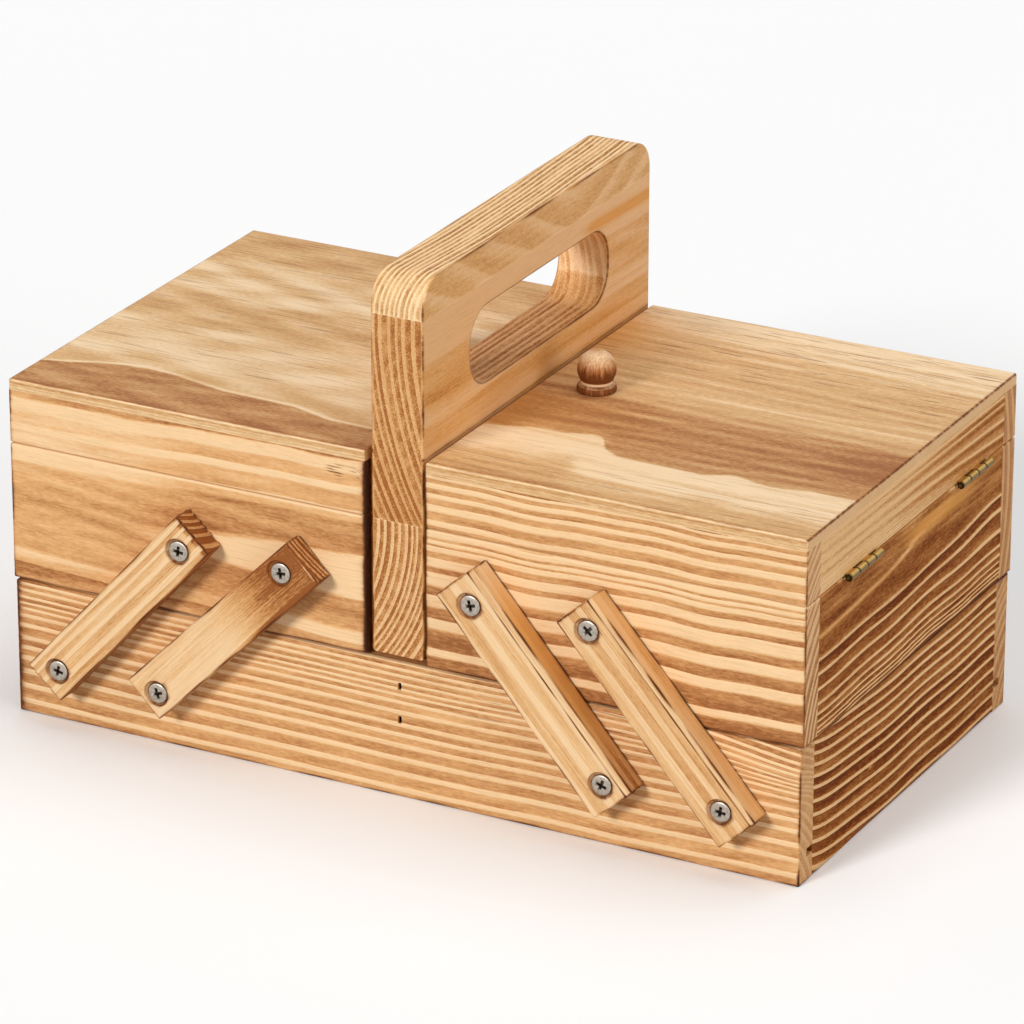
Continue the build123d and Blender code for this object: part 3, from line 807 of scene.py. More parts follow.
right_front_log = Trunk(0, (FRONT + 80, 30), from_face(RIGHT_MARKS, 30, 80), right_sway, depths=RIGHT_DEPTHS,
                        seed=21)
right_ridges = around(FINE_RIDGES, 0.25, 0.4) + around(COARSE_RIDGES, 0.4, 0.7)
right_end_marks = from_face(right_ridges, END_HEART, 25) + [18.0]
right_end_log = Trunk(1, (TRAY_END - 25, END_HEART), right_end_marks, end_sway, seed=22)
right_back_log = common_trunk(0, (-40, 88), 190, 4.0, 23)
inner_log = common_trunk(1, (30, 30), 160, 4.0, 24)
print("Ridges on the right end:", len(right_ridges) // 2)

# %% [markdown]
# The ends show the most of the flame: a pale band with amber under it on the tray, and on the lid only a few
# lines. The wood is torn at the hinges.

# %% Looks of the tray ends
HINGE_MIDDLES = (-43.0, 47.3)
LEAF_REACH, SPLINTER_REACH = 12.85, 14.3
LID_FROM = 101.4
LID_LINES = (
    ((-84, 84), (120.5, 120.1)),
    ((-84, 84), (118.2, 117.3)),
    ((-84, 0, 84), (114.2, 113.6, 111.4)),
    ((-84, -30, 30, 84), (110.5, 110.4, 108.6, 105.3)),
)
FLAME_BAND = ((-84, -60, -40, -20, -7, 4), (86.2, 87.0, 88.0, 89.0, 90.8, 94.0))


def line_at(co, places, heights, width):
    """A line along an end of the box through these heights, 1 in its middle."""
    return bell(co[:, 2] - np.interp(co[:, 1], places, heights), width)


def end_tone(co):
    """The lid has no whole rings here, only lines."""
    return -1.2 * smooth(101.0, 101.6, co[:, 2])


def lid_end_wash(co):
    """The flame passed quickly over the lid, so only a few lines show. Towards the back it is browner."""
    browner = smooth(-40, 70, co[:, 1])
    lines = sum(line_at(co, *line, 0.55) for line in LID_LINES)
    under = sum(line_at(co, places, np.array(heights) - 1.7, 1.0) for places, heights in LID_LINES)
    cloud = 0.1 * clouds(19, (co[:, 1], 60), (co[:, 2], 1.4))
    return 0.34 * browner + (0.16 + 0.2 * browner) * under - (0.2 + 0.26 * browner) * lines + cloud


def splinters(co):
    """Torn wood at both ends of the hinge mortises."""
    places = [middle + side for middle in HINGE_MIDDLES for side in (-SPLINTER_REACH, SPLINTER_REACH)]
    torn = sum(spot_at(co, place, 100.7, 1.7, 0.8) for place in places)
    return torn * (0.7 + 0.6 * clouds(9, (co[:, 1], 5), (co[:, 2], 3)))


def end_wash(co):
    y, z = co[:, 1], co[:, 2]
    band = line_at(co, *FLAME_BAND, 0.95) * (1 - smooth(0, 12, y))
    zone = smooth(88, 91, z + 0.03 * y) * (1 - smooth(100.3, 101.0, z))
    patch = between(y, -12, 6, 40, 60) * bell(z - 95.6, 3.2, 4)
    tray = -0.6 * band - 0.2 * zone - 0.2 * patch + zone * 0.1 * clouds(20, (y, 50), (z, 1.6))
    return np.where(z > LID_FROM, lid_end_wash(co), tray) - 0.8 * splinters(co)


def end_amber(co):
    y, z = co[:, 1], co[:, 2]
    patch = between(y, -14, 8, 36, 60) * bell(z - 95.6, 3.0, 4)
    band = line_at(co, *FLAME_BAND, 0.9) * (1 - smooth(0, 10, y))
    thin = sum(line_at(co, *line, 0.4) for line in LID_LINES)
    return 0.8 * patch + 0.35 * band + 0.3 * thin * (z > LID_FROM) * (1 - 0.6 * smooth(20, 84, y))


print("Lines on a lid end:", len(LID_LINES))

# %% [markdown]
# Trays and lids are frames of the same four boards, so one function makes both frames of a side.

# %% Tray and lid frames
RIM = side_at("right_tray_front", "+z")
RIGHT_INNER_END, LEFT_INNER_END = side_at("right_tray_front", "-x"), side_at("left_tray_front", "+x")
FRAMES = (
    ("tray_{}", "{}_end", ("-z", "+z"), ("+z",), (RIM - 0.8, RIM + 0.8)),
    ("lid_{}_strip", "{}", ("-z",), ("-z",), (RIM - 0.2, RIM + 1.2)),
)


def mortises(outer, low_z, high_z):
    """Cutters for the two shallow pockets that the hinge leaves lie in, open to the end of the box."""
    xs = sorted((outer + 2 * np.sign(outer), outer - 8 * np.sign(outer)))
    return [slug((xs[0], y - LEAF_REACH, low_z), (xs[1], y + LEAF_REACH, high_z)) for y in HINGE_MIDDLES]


def box_frame(side, outer, front_log, back_log, outer_log, char, wash=0, **front_looks):
    """The four tray boards and the four lid strips of one side. outer: where their outer end lies on x."""
    away, towards = ("+x", "-x") if outer > 0 else ("-x", "+x")
    # painted highlight: a pale line along the tray's top arris, where it catches the light
    rim_highlight = lambda co: bell(co[:, 2] - 100.9, 0.35)
    front_wash = lambda co: look_at(wash, co) - 0.45 * rim_highlight(co)
    front_looks |= {"burn": 1.2, "fade": 0.3, "ends": 0.2, "char": char, "wash": front_wash}
    outer_wash = lambda co: end_wash(co) - 0.4 * rim_highlight(co)
    outer_looks = {"char": seam_char, "tone": end_tone, "amber": end_amber, "wash": outer_wash}
    for name, end, free, calm, pocket in FRAMES:
        node = lambda place: f"{side}_{name.format(place)}"
        along = ("-x", "+x") + free
        board(node("front"), front_log, front_pine, ("-y",) + along, {"-y": 0.3}, calm=calm, **front_looks)
        board(node("back"), back_log, front_pine, ("+y",) + along, {"+y": 0.3}, calm=calm, **back_looks)
        board(node(end.format("outer")), outer_log, end_pine, (away,) + free, {away: 0.34}, calm=calm,
              cuts=mortises(outer, *pocket), **outer_looks)
        board(node(end.format("inner")), inner_log, side_pine, (towards,) + free, {towards: 0.3}, calm=calm)


def right_inner_char(co):
    return seam_char(co) + 0.45 * fading(co[:, 0] - RIGHT_INNER_END, 0.5) * (co[:, 1] < NEAR_FRONT)


box_frame("right", TRAY_END, right_front_log, right_back_log, right_end_log, right_inner_char)

# %% [markdown]
# ## The left tray
# Its front was sawn close to the heart, so the rings open into a long arch.

# %% Left tray and lid frame
LEFT_RADII = (51.6, 48.0, 44.5, 42.8, 38.5, 35.9, 30.85, 6.0)
LEFT_DEPTHS = (0.46, 0.5, 0.70, 0.05)


def left_sway(co):
    x = co[:, 0]
    return 0 * x, 0.4 * np.sin(x / 14.0) + 0.18 * np.sin(x / 6.3 + 2)


def left_tone(co):
    """The rings fade out towards the left."""
    return -0.3 * smooth(-70, -110, co[:, 0]) * smooth(60, 66, co[:, 2])


def left_wash(co):
    """A dark band low on the board, a brown haze at its left, a pale lens and a dark line under the seam."""
    x, _, z = co.T
    low = 0.35 * bell(z - 56 - 0.012 * (x + 152), 3.4, 4) * (1 - smooth(-80, -50, x))
    haze = 0.10 * smooth(-60, -110, x) * bell(z - 78, 15, 4)
    lens = smooth(-84, -74, x) * between(z, 70.5, 72.5, 82, 84)
    under_seam = smooth(-105, -75, x) * bell(z - 98.9, 2.4, 4)
    return low + haze - 0.2 * lens + 0.3 * under_seam


def corner_char(co):
    """The inner corner by the handle was burnt black, and a few spots near it are eaten out."""
    x, y, z = co.T
    inner = 0.75 * fading(LEFT_INNER_END - x, 0.7) + 0.2 * fading(LEFT_INNER_END - x, 3.0)
    eaten = smooth(0.3, 0.6, clouds(46, (x, 2.2), (z, 1.3))) * bell(x + 20.5, 6.5, 4) * bell(z - 116, 2.3, 4)
    outer = fading(x + TRAY_END, 0.8) * (1 - 0.9 * smooth(-151.9, -152.3, x))
    return inner * (y < NEAR_FRONT) + 0.75 * eaten + 0.4 * outer + seam_char(co)


left_heart = (FRONT + 30, 78.5)
left_front_log = Trunk(0, left_heart, LEFT_RADII, left_sway, taper=(-0.0143, -25), depths=LEFT_DEPTHS,
                       seed=31)
left_end_log = common_trunk(1, (-TRAY_END + 30, 60), 150, 4.5, 32)
left_back_log = common_trunk(0, (50, 140), 190, 4.2, 33)
box_frame("left", -TRAY_END, left_front_log, left_back_log, left_end_log, corner_char, wash=left_wash,
          tone=left_tone)

# %% [markdown]
# ## The lids
# Each lid is closed by a thin panel that was sawn almost along the rings, so one ring covers a hand's width
# and its crisp edge wanders across the lid. The wandering is given as a few shifts along the board. Away
# from that edge the flame left soft clouds, so there a wash of brown does the work.

# %% Lid helpers
LID_TOP = side_at("right_lid_panel", "+z")
LID = ((0.0, 0.0), (0.5, 0.0), (0.6, 1.0), (0.994, 1.0), (1.0, 0.0))
lid_pine = pine("lid_flamed", (245, 214, 172), (218, 174, 120), (186, 132, 82), (156, 100, 60), profile=LID,
                fray=0.012, streaks=0.15, mottle=1.0, wide=0.22, resin=0.75, drift=(0.006, 0.13, 0.13))


def wander(places, shifts, fade):
    """Shifts along the board that fade out away from the ring's edge. fade: where across the board they are
    gone."""
    fine = np.linspace(places[0], places[-1], 300)
    padded = np.pad(np.interp(fine, places, shifts), 2, mode="edge")
    softened = np.convolve(padded, np.ones(5) / 5, "valid")
    return lambda co: (np.interp(co[:, 0], fine, softened) * smooth(*fade, co[:, 1]), 0 * co[:, 0])


def across(*knots):
    """Brown across the board, from places on y and levels."""
    places, levels = np.array(knots).T
    return lambda y: np.interp(y, places[::-1], levels[::-1])


def front_edge(co, wash):
    """On the front edge of a panel the rings are fine level lines. Its arris is painted pale as a highlight,
    with a darker line just behind it.
    """
    x, y, z = co.T
    edge = smooth(-84.0, -84.3, y)
    lines = np.sin(2 * np.pi * (z + 0.25 * np.sin(x / 13) + 0.1 * np.sin(x / 4.7)) / 1.05)
    from_arris = np.hypot(y - FRONT, z - LID_TOP)
    # painted highlight along the front arris, with a painted darker line just behind it
    arris_highlight = bell(from_arris, 0.45) - 0.5 * bell(from_arris - 1.3, 0.5)
    on_end = smooth(151.8, 152.2, np.abs(x))
    return (wash * (1 - edge) + (0.27 + 0.1 * lines) * edge - 0.5 * arris_highlight) * (1 - on_end)


def lid_char(co):
    """Dark arrises at both ends, and dark specks just behind the front one."""
    x, y, z = co.T
    side, top, front = TRAY_END - np.abs(x), LID_TOP - z, y - FRONT
    specks = smooth(0.1, 0.7, clouds(45, (x, 7), (y, 2))) * bell(front - 1.0, 0.7) * (top < 0.3)
    return 0.6 * bell(np.hypot(side, top), 0.7) + 0.3 * specks


def lid_panel(node, heart, edges, seed, sway, ring, **looks):
    """edges: where rings begin and end across the panel, before the sway. ring: brown of the rings across
    it."""
    marks = [math.hypot(edge - heart[0], 65) for edge in edges]
    log = Trunk(0, heart, marks, sway, depths=(1.0, 1.0, 1.0), straight=True, seed=seed)
    tone = lambda co: ring(co[:, 1] - sway(co)[0]) - 1.0 - 1.0 * (co[:, 1] < FRONT + 0.35)
    board(node, log, lid_pine, ("+z", "-y", "+y", "-x", "+x"), {"+z": 0.08}, step=(1.6, 0.6, 0.3),
          radius=0.9, burn=0.4, fade=0.9, ends=0.12, char=lid_char, tone=tone, **looks)


print("Lids are", LID_TOP, "high")

# %% [markdown]
# On the right lid the ring's edge runs near the front, and a long brown haze lies behind it.

# %% Right lid panel
right_places = 11.0 + np.array([
    0, 9, 16, 21, 29, 34, 38, 42, 44, 47, 51, 54, 64, 86, 90, 93, 97, 101, 105, 111, 119, 124, 141,
])
right_shifts = 45 + np.array([
    -44.8, -42.4, -39.6, -38.6, -39.1, -36.9, -35.8, -36.3, -39.5, -45, -47.6, -49.5,
    -50.2, -50.5, -49.1, -47.2, -46.6, -47.2, -48.6, -49.5, -48.3, -46.9, -47.2,
])
right_haze = across(
    (84, 0.04), (62, 0.1), (56, 0.28), (40, 0.38), (20, 0.36), (12, 0.3), (8, 0.3), (0, 0.38),
    (-14, 0.44), (-30, 0.34), (-40, 0.18), (-44, 0.10), (-47, 0.02), (-62, 0.0), (-70, 0.28), (-84, 0.46),
)
right_ring = across((8, 0.0), (0, 0.12), (-9, 0.3), (-24, 0.45), (-36, 0.5), (-60, 0.5))
right_lid_sway = wander(right_places, right_shifts, (20, -34))


def right_lid_wash(co):
    x, y = co[:, 0], co[:, 1]
    drifted = y - 2.5 * clouds(43, (x, 220), (y, 60))
    moved = y - right_lid_sway(co)[0]
    line = bell(y - 11.5, 0.9) * smooth(55, 90, x)
    corner = 0.2 * smooth(115, 150, x) * between(drifted, -42, -25, -10, 2)
    # painted shade of the handle: the lid is browner near it
    handle_shade = 0.16 * fading(x - 11, 16) * smooth(-44, -36, moved)
    haze = right_haze(np.where(moved < -40, moved, drifted))
    return front_edge(co, haze + corner + handle_shade - 0.2 * line + 0.1 * clouds(44, (x, 120), (y, 9)))


def right_lid_amber(co):
    """The lid is painted warmer by the handle, as part of the handle's painted shade, and it is amber on its
    end.
    """
    x, y = co[:, 0], co[:, 1]
    places = between(y, 34, 44, 66, 76) + between(y, -48, -38, -14, -4)
    return 0.45 * places * fading(x - 11, 22) + 0.38 * smooth(151.8, 152.2, x)


def right_lid_canals(co):
    x, y = co[:, 0], co[:, 1]
    return (0.15 + 0.75 * smooth(18, 36, y) + 0.4 * smooth(-56, -62, y)) * (x < 151.8) * (y > -83.9)


lid_panel("right_lid_panel", (-100, 60), (140, 25, -45, -95, -99), 41, right_lid_sway, right_ring,
          wash=right_lid_wash, canals=right_lid_canals, amber=right_lid_amber)

# %% [markdown]
# The left lid is plainer. Its ring's edge lies closer to the front, with a pale line along it.

# %% Left lid panel
left_places = -TRAY_END + np.array([0, 8.6, 18.6, 28.6, 37, 50, 60, 71, 86, 100, 108.6, 117, 134])
left_shifts = 60 + np.array([
    -64.1, -61.9, -57.6, -54.8, -53.4, -54.8, -57.4, -59.8, -60.5, -60.9, -63.4, -66.2, -66.6,
])
left_haze = across(
    (84, 0.46), (72, 0.42), (60, 0.38), (52, 0.2), (22, 0.12), (16, 0.34), (0, 0.36), (-8, 0.3),
    (-14, 0.14), (-24, 0.24), (-30, 0.1), (-42, 0.12), (-50, 0.26), (-57, 0.32), (-84, 0.3),
)
left_ring = across((-20, 0.0), (-50, 0.42), (-84, 0.42))
left_lid_sway = wander(left_places, left_shifts, (-30, -50))


def left_lid_wash(co):
    x, y = co[:, 0], co[:, 1]
    drifted = y - 2.5 * clouds(47, (x, 170), (y, 50))
    pale = bell(y - left_lid_sway(co)[0] + 59.2, 0.9)
    return front_edge(co, left_haze(drifted) - 0.3 * pale + 0.12 * clouds(48, (x, 55), (y, 20)))


lid_panel("left_lid_panel", (110, 60), (-150, -110, -60, -10, 60), 42, left_lid_sway, left_ring,
          wash=left_lid_wash, canals=lambda co: 0.5 * smooth(-56, -44, co[:, 1]))

# %% [markdown]
# ## The handle
# Three boards with their grain lengthwise are glued one above another, so three different trunks meet at
# pale glue lines. The outline's arris is eased, the top corners are round, and the hand hole is cut with a
# spool-shaped tool that eases its rims.

# %% Handle shapes
HALF_HANDLE = side_at("handle_middle_board", "+x")
OUTLINE_EASE = 0.8
TOP_CORNER = 11.0
FOOT_EASE = 1.6


def ease_outline(co, distance, outward):
    """Rounds the arris between the handle's sides and its outline. distance and outward: to the outline."""
    from_side = HALF_HANDLE - np.abs(co[:, 0])
    a, b = np.clip(OUTLINE_EASE - distance, 0, None), np.clip(OUTLINE_EASE - from_side, 0, None)
    scale = np.where((a > 0) & (b > 0), np.maximum(a, b) / np.maximum(np.hypot(a, b), 1e-9), 1)
    co[:, 0] += np.sign(co[:, 0]) * b * (scale - 1)
    co[:, 1:] += outward * (a * (scale - 1))[:, None]
    return co


def handle_block(name, low, high, step, top_free=False):
    """A board of the handle with an eased arris, and with round top corners where its top is free."""
    lines = [grid_lines(low[0], high[0], 0.55, (0, 0.2, 0.5, 0.8))]
    lines += [grid_lines(low[1], high[1], step[0], NEAR_END), grid_lines(low[2], high[2], step[1])]
    made = block(name, lines)
    co = points(made.data)
    from_middle = co[:, 1] - (low[1] + high[1]) / 2
    distance = from_end = (high[1] - low[1]) / 2 - np.abs(from_middle)
    outward = np.stack((np.sign(from_middle), 0 * from_middle), 1)
    if top_free:
        from_top = high[2] - co[:, 2]
        outward = np.where((from_top < from_end)[:, None], (0.0, 1.0), outward)
        distance = np.minimum(from_end, from_top)
        s, t = np.clip(TOP_CORNER - from_end, 0, None), np.clip(TOP_CORNER - from_top, 0, None)
        turn = (s > 0) & (t > 0)
        length = np.maximum(np.hypot(s, t), 1e-9)
        slanted = np.stack((np.sign(from_middle) * s, t), 1) / length[:, None]
        outward = np.where(turn[:, None], slanted, outward)
        pull = np.where(turn, np.maximum(s, t) / length, 1) - 1
        co[:, 1] += np.sign(from_middle) * s * pull
        co[:, 2] += t * pull
    set_points(made.data, ease_outline(co, distance, outward))
    return made


def foot_cut(near, far, bottom):
    """A cutter that shortens the handle over the base boards and rounds its lower corners."""
    flat = HALF_HANDLE - FOOT_EASE
    rounded = np.linspace(flat, HALF_HANDLE, 7)
    x = np.concatenate(([-HALF_HANDLE - 2], -rounded[::-1], rounded, [HALF_HANDLE + 2]))
    made = block("foot_cut", [x, np.array((near, far)), np.array((bottom, 52.0))])
    co = points(made.data)
    out = np.clip(np.abs(co[:, 0]) - flat, 0, FOOT_EASE)
    co[:, 2] += (FOOT_EASE - np.sqrt(FOOT_EASE**2 - out**2)) * (co[:, 2] > 51)
    set_points(made.data, co)
    return made


print("Half the handle's thickness:", HALF_HANDLE)

# %% [markdown]
# The hand hole's cutter starts as a cylinder. Its sections along x become rounded rectangles that flare at
# both faces, and the vertices round each section are spread evenly over its outline.

# %% Hand hole
HOLE_Y, HOLE_Z, HOLE_LONG, HOLE_TALL, HOLE_CORNER = 1.0, 152.1, 102.0, 27.6, 12.2
HOLE_RIM = 0.8


def spool():
    """A cutter along x whose outline is a rounded rectangle, wider at both faces of the board."""
    flare = HOLE_RIM * np.array((0.25, 0.6, 1.0))
    straight = np.linspace(HOLE_RIM - HALF_HANDLE, HALF_HANDLE - HOLE_RIM, 38)[1:-1]
    near = np.concatenate(([-HALF_HANDLE - 1, -HALF_HANDLE], flare - HALF_HANDLE))
    places = np.concatenate((near, straight, -near[::-1]))
    shape = bmesh.new()
    bmesh.ops.create_cone(shape, cap_ends=True, segments=168, radius1=1, radius2=1, depth=1)
    split(shape, 2, len(places) - 2)
    made = to_object(shape, "spool")
    co = points(made.data) / 1000
    x = places[np.rint((co[:, 2] + 0.5) * (len(places) - 1)).astype(int)]
    flat, tall = HOLE_LONG / 2 - HOLE_CORNER, HOLE_TALL / 2 - HOLE_CORNER
    quarter = HOLE_CORNER * np.pi / 2
    runs = np.cumsum([0, tall, quarter, 2 * flat, quarter, 2 * tall, quarter, 2 * flat, quarter, tall])
    s = (np.arctan2(co[:, 1], co[:, 0]) % (2 * np.pi)) / (2 * np.pi) * runs[-1]
    fine = np.linspace(0, runs[-1], 4001)
    on_outline = lambda scale, knots: np.interp(s, fine, np.interp(fine, runs, scale * np.array(knots)))
    angle = on_outline(np.pi / 2, [0, 0, 1, 1, 2, 2, 3, 3, 4, 4])
    y = on_outline(flat, [1, 1, 1, -1, -1, -1, -1, 1, 1, 1])
    z = on_outline(tall, [0, 1, 1, 1, 1, -1, -1, -1, -1, 0])
    near_face = np.clip(np.abs(x) - HALF_HANDLE + HOLE_RIM, 0, HOLE_RIM)
    radius = HOLE_CORNER + HOLE_RIM - np.sqrt(np.clip(HOLE_RIM**2 - near_face**2, 0, None))
    y, z = y + HOLE_Y + np.cos(angle) * radius, z + HOLE_Z + np.sin(angle) * radius
    set_points(made.data, np.stack((x, y, z), 1))
    return made


print("Hand hole:", HOLE_LONG, "by", HOLE_TALL)

# %% [markdown]
# The flame browned the handle unevenly: amber on its sides, dark arrises round the outline and the hole,
# pale glue joints.

# %% Looks of the handle
GLUE_LINES = (side_at("handle_lower_board", "+z"), side_at("handle_middle_board", "+z"))


def on_sides(co):
    return smooth(9.0, 9.5, np.abs(co[:, 0]))


def glue_wash(co):
    """A pale line at each glue joint, and the wood a little browner low down."""
    line = sum(fading(np.abs(co[:, 2] - z), 0.25) for z in GLUE_LINES)
    return -0.35 * line + 0.12 * (1 - smooth(100, 140, co[:, 2]))


def outline_char(co):
    """Brown round the hole's rim, and painted contact shade where the handle leaves the lids."""
    y = np.abs(co[:, 1] - HOLE_Y) - HOLE_LONG / 2 + HOLE_CORNER
    z = np.abs(co[:, 2] - HOLE_Z) - HOLE_TALL / 2 + HOLE_CORNER
    away = np.hypot(np.clip(y, 0, None), np.clip(z, 0, None)) + np.minimum(np.maximum(y, z), 0) - HOLE_CORNER
    rim = bell(away - 0.35, 0.4) * smooth(9.1, 9.4, np.abs(co[:, 0]))
    # the second term is painted contact shade along the foot of the handle's sides
    return 0.62 * rim + 0.5 * bell(co[:, 2] - 125.3, 0.45) * on_sides(co)


def lower_wash(co):
    return glue_wash(co) + 0.08 * (1 - on_sides(co))


def middle_tone(co):
    far_end = (np.abs(co[:, 1]) > 38) & (np.abs(co[:, 1]) < 60)
    return -0.66 * on_sides(co) - (0.35 + 0.25 * far_end) * (1 - on_sides(co))


STREAKS = (
    (0.22, -68, 146, 18, 3), (0.25, 40, 132, 50, 1.6), (0.18, -30, 134.5, 40, 1.2),
    (0.16, -66, 143, 20, 3.5), (0.22, 68, 141.5, 18, 0.7),
)


def middle_wash(co):
    _, y, z = co.T
    on_side = on_sides(co)
    streaks = sum(level * spot_at(co, *place, power=4) for level, *place in STREAKS)
    lined = np.maximum(spot_at(co, -68, 144.5, 20, 4.5, 4), spot_at(co, 10, 132.5, 75, 3.0, 4))
    lines = smooth(0.1, 0.6, clouds(57, (y, 130), (z, 1.5))) * lined
    # painted shadow of the knob on the side of the handle
    knob_shadow = 0.3 * spot_at(co, 3, 130, 6, 5)
    # painted shade inside the hand hole, on its floor and the lower part of its ends
    hole_floor_shade = 0.36 * (np.abs(y - HOLE_Y) < 50) * (z < 150) * (z > 135)
    front = 0.38 * (np.abs(y) > 60)
    return (glue_wash(co) + on_side * (0.26 * lines + streaks - 0.03 + knob_shadow)
            + (1 - on_side) * (hole_floor_shade + front))


def side_tint(co):
    """Amber on the sides, most in a streak high at the back."""
    y, z = co[:, 1], co[:, 2]
    streak = smooth(28, 45, y) * bell(z - 168.6 + 0.03 * (y - 40), 2.1)
    return on_sides(co) * (0.9 * streak + 0.42 + 0.2 * smooth(142, 118, z))


def top_wash(co):
    """On its sides the top board shows wide arcs, lowest towards the far end."""
    year = (co[:, 2] - 0.5 * np.hypot(co[:, 1] - 28, 8) + 0.6 * np.sin(co[:, 1] / 7)) / 13.0
    arc = between(year - np.floor(year), 0.02, 0.1, 0.35, 1.0)
    return glue_wash(co) + 0.03 + on_sides(co) * (0.12 + 0.3 * arc)


print("Glue lines at", GLUE_LINES)

# %% [markdown]
# The middle board is the one that the hand hole goes through. The lower board ends in a narrower tongue,
# which stands between the front and back boards of the base.

# %% Handle boards
BASE_INSIDE = side_at("base_back_board", "-y")
shared = {"mottle": 1.25, "wide": 0.25, "resin": 0.4}
handle_pine = pine("handle_flamed", (244, 208, 164), (224, 173, 115), (196, 137, 80), (160, 96, 46),
                   streaks=0.34, **shared)
top_pine = pine("handle_top_flamed", (250, 216, 170), (231, 185, 128), (196, 145, 88), (160, 104, 56),
                streaks=0.36, **shared)
handle_looks = {"burn": 1.1, "ends": 0.0, "fade": 0.0}
upright = ("-x", "+x", "-y", "+y")


def handle_trunk(heart, outermost, year, seed, sway):
    """sway: a function of y."""
    return common_trunk(1, heart, outermost, year, seed, lambda co: sway(co[:, 1]))


low, high = corners("handle_lower_board")
lower_board = handle_block("handle_lower_wood", low, high, (3.0, 0.55))
feet = ((low[1] - 2, -BASE_INSIDE), (BASE_INSIDE, high[1] + 2))
cut_away(lower_board, [foot_cut(near, far, low[2] - 2) for near, far in feet])
lower_log = handle_trunk((-67, 98), 150, 2.8, 51, lambda y: (0.5 * np.sin(y / 19), 0.5 * np.sin(y / 27)))
dress(lower_board, lower_log, low, high, upright, {"-x": 0.1, "+x": 0.1}, wash=lower_wash, char=outline_char,
      amber=side_tint, tone=lambda co: -0.15 - 0.3 * on_sides(co), **handle_looks)
stand_in(lower_board, "handle_lower_board", handle_pine)

low, high = corners("handle_middle_board")
middle_board = handle_block("handle_middle_wood", low, high, (3.0, 0.55))
cut_away(middle_board, [spool()])
middle_sway = lambda y: (0.15 * np.sin(y / 23 + 1), 1.2 * np.sin(y / 41))
middle_log = handle_trunk((135, 172), 300, 2.9, 52, middle_sway)
dress(middle_board, middle_log, low, high, upright, {"-x": 0.08, "+x": 0.08}, wash=middle_wash,
      char=outline_char, amber=side_tint, tone=middle_tone, **handle_looks)
level_off(middle_board, "raw")
stand_in(middle_board, "handle_middle_board", handle_pine)

low, high = corners("handle_top_board")
top_board = handle_block("handle_top_wood", low, high, (2.2, 0.45), top_free=True)
top_sway = lambda y: (0.1 * np.sin(y / 9) - 0.00045 * (y + 15) ** 2, 0.8 * np.sin(y / 15))
top_log = handle_trunk((60, 170), 150, 1.6, 53, top_sway)
top_tone = lambda co: -0.15 - 1.0 * on_sides(co) - 0.2 * smooth(-72, -82, co[:, 1])
dress(top_board, top_log, low, high, upright + ("+z",), {"+z": 0.12, "-y": 0.08}, wash=top_wash,
      tone=top_tone, amber=lambda co: 0.26 * on_sides(co), **handle_looks)
stand_in(top_board, "handle_top_board", top_pine)

# %% [markdown]
# ## The arms
# Eight plain laths, each sawn a little differently and sunk for its two screw heads, never quite in the
# middle. They are made lying flat, where their own grain is easy to describe: u runs up the arm, v across it
# to its left, and w out of its face. Then a matrix turns each into place, and goes into its mesh.

# %% Arms
ARM_FACE = side_at("right_arm_back_inner", "+y")
ARM_THICK = 8.8
PITCH = 74.2
SINK = (
    (0, 1.0), (5.2, 1.0), (4.8, -0.1), (4.55, -0.4), (4.45, -0.9),
    (3.85, -0.9), (3.85, -3.1), (2.06, -3.1), (2.06, -10), (0, -10),
)
ARM_BRUSHED = {"+z": 0.12, "-y": 0.14, "+y": 0.14, "+x": 0.5, "-x": 0.8}
arm_pine = pine("arm_flamed", (240, 204, 158), (227, 180, 125), (196, 136, 79), (146, 84, 38), streaks=0.62,
                mottle=0.7, rough=0.5)


def sink(place, aside):
    """Cutter for one screw: a bore, and at its top a wider recess that lies a little to one side."""
    shape = lathe(SINK, 32)
    recess = [vert for vert in shape.verts if vert.co.z > -0.00095 and vert.co.xy.length > 0.0041]
    for (u, v), verts in ((aside, recess), (place[:2], shape.verts)):
        bmesh.ops.translate(shape, vec=(u / 1000, v / 1000, 0), verts=verts)
    return to_object(shape, "sink")


def turned_to(x_axis, y_axis, z_axis, place):
    """Matrix that gives a shape these axes and this place, in millimetres."""
    return Matrix.Translation(Vector(place) / 1000) @ Matrix((x_axis, y_axis, z_axis)).transposed().to_4x4()


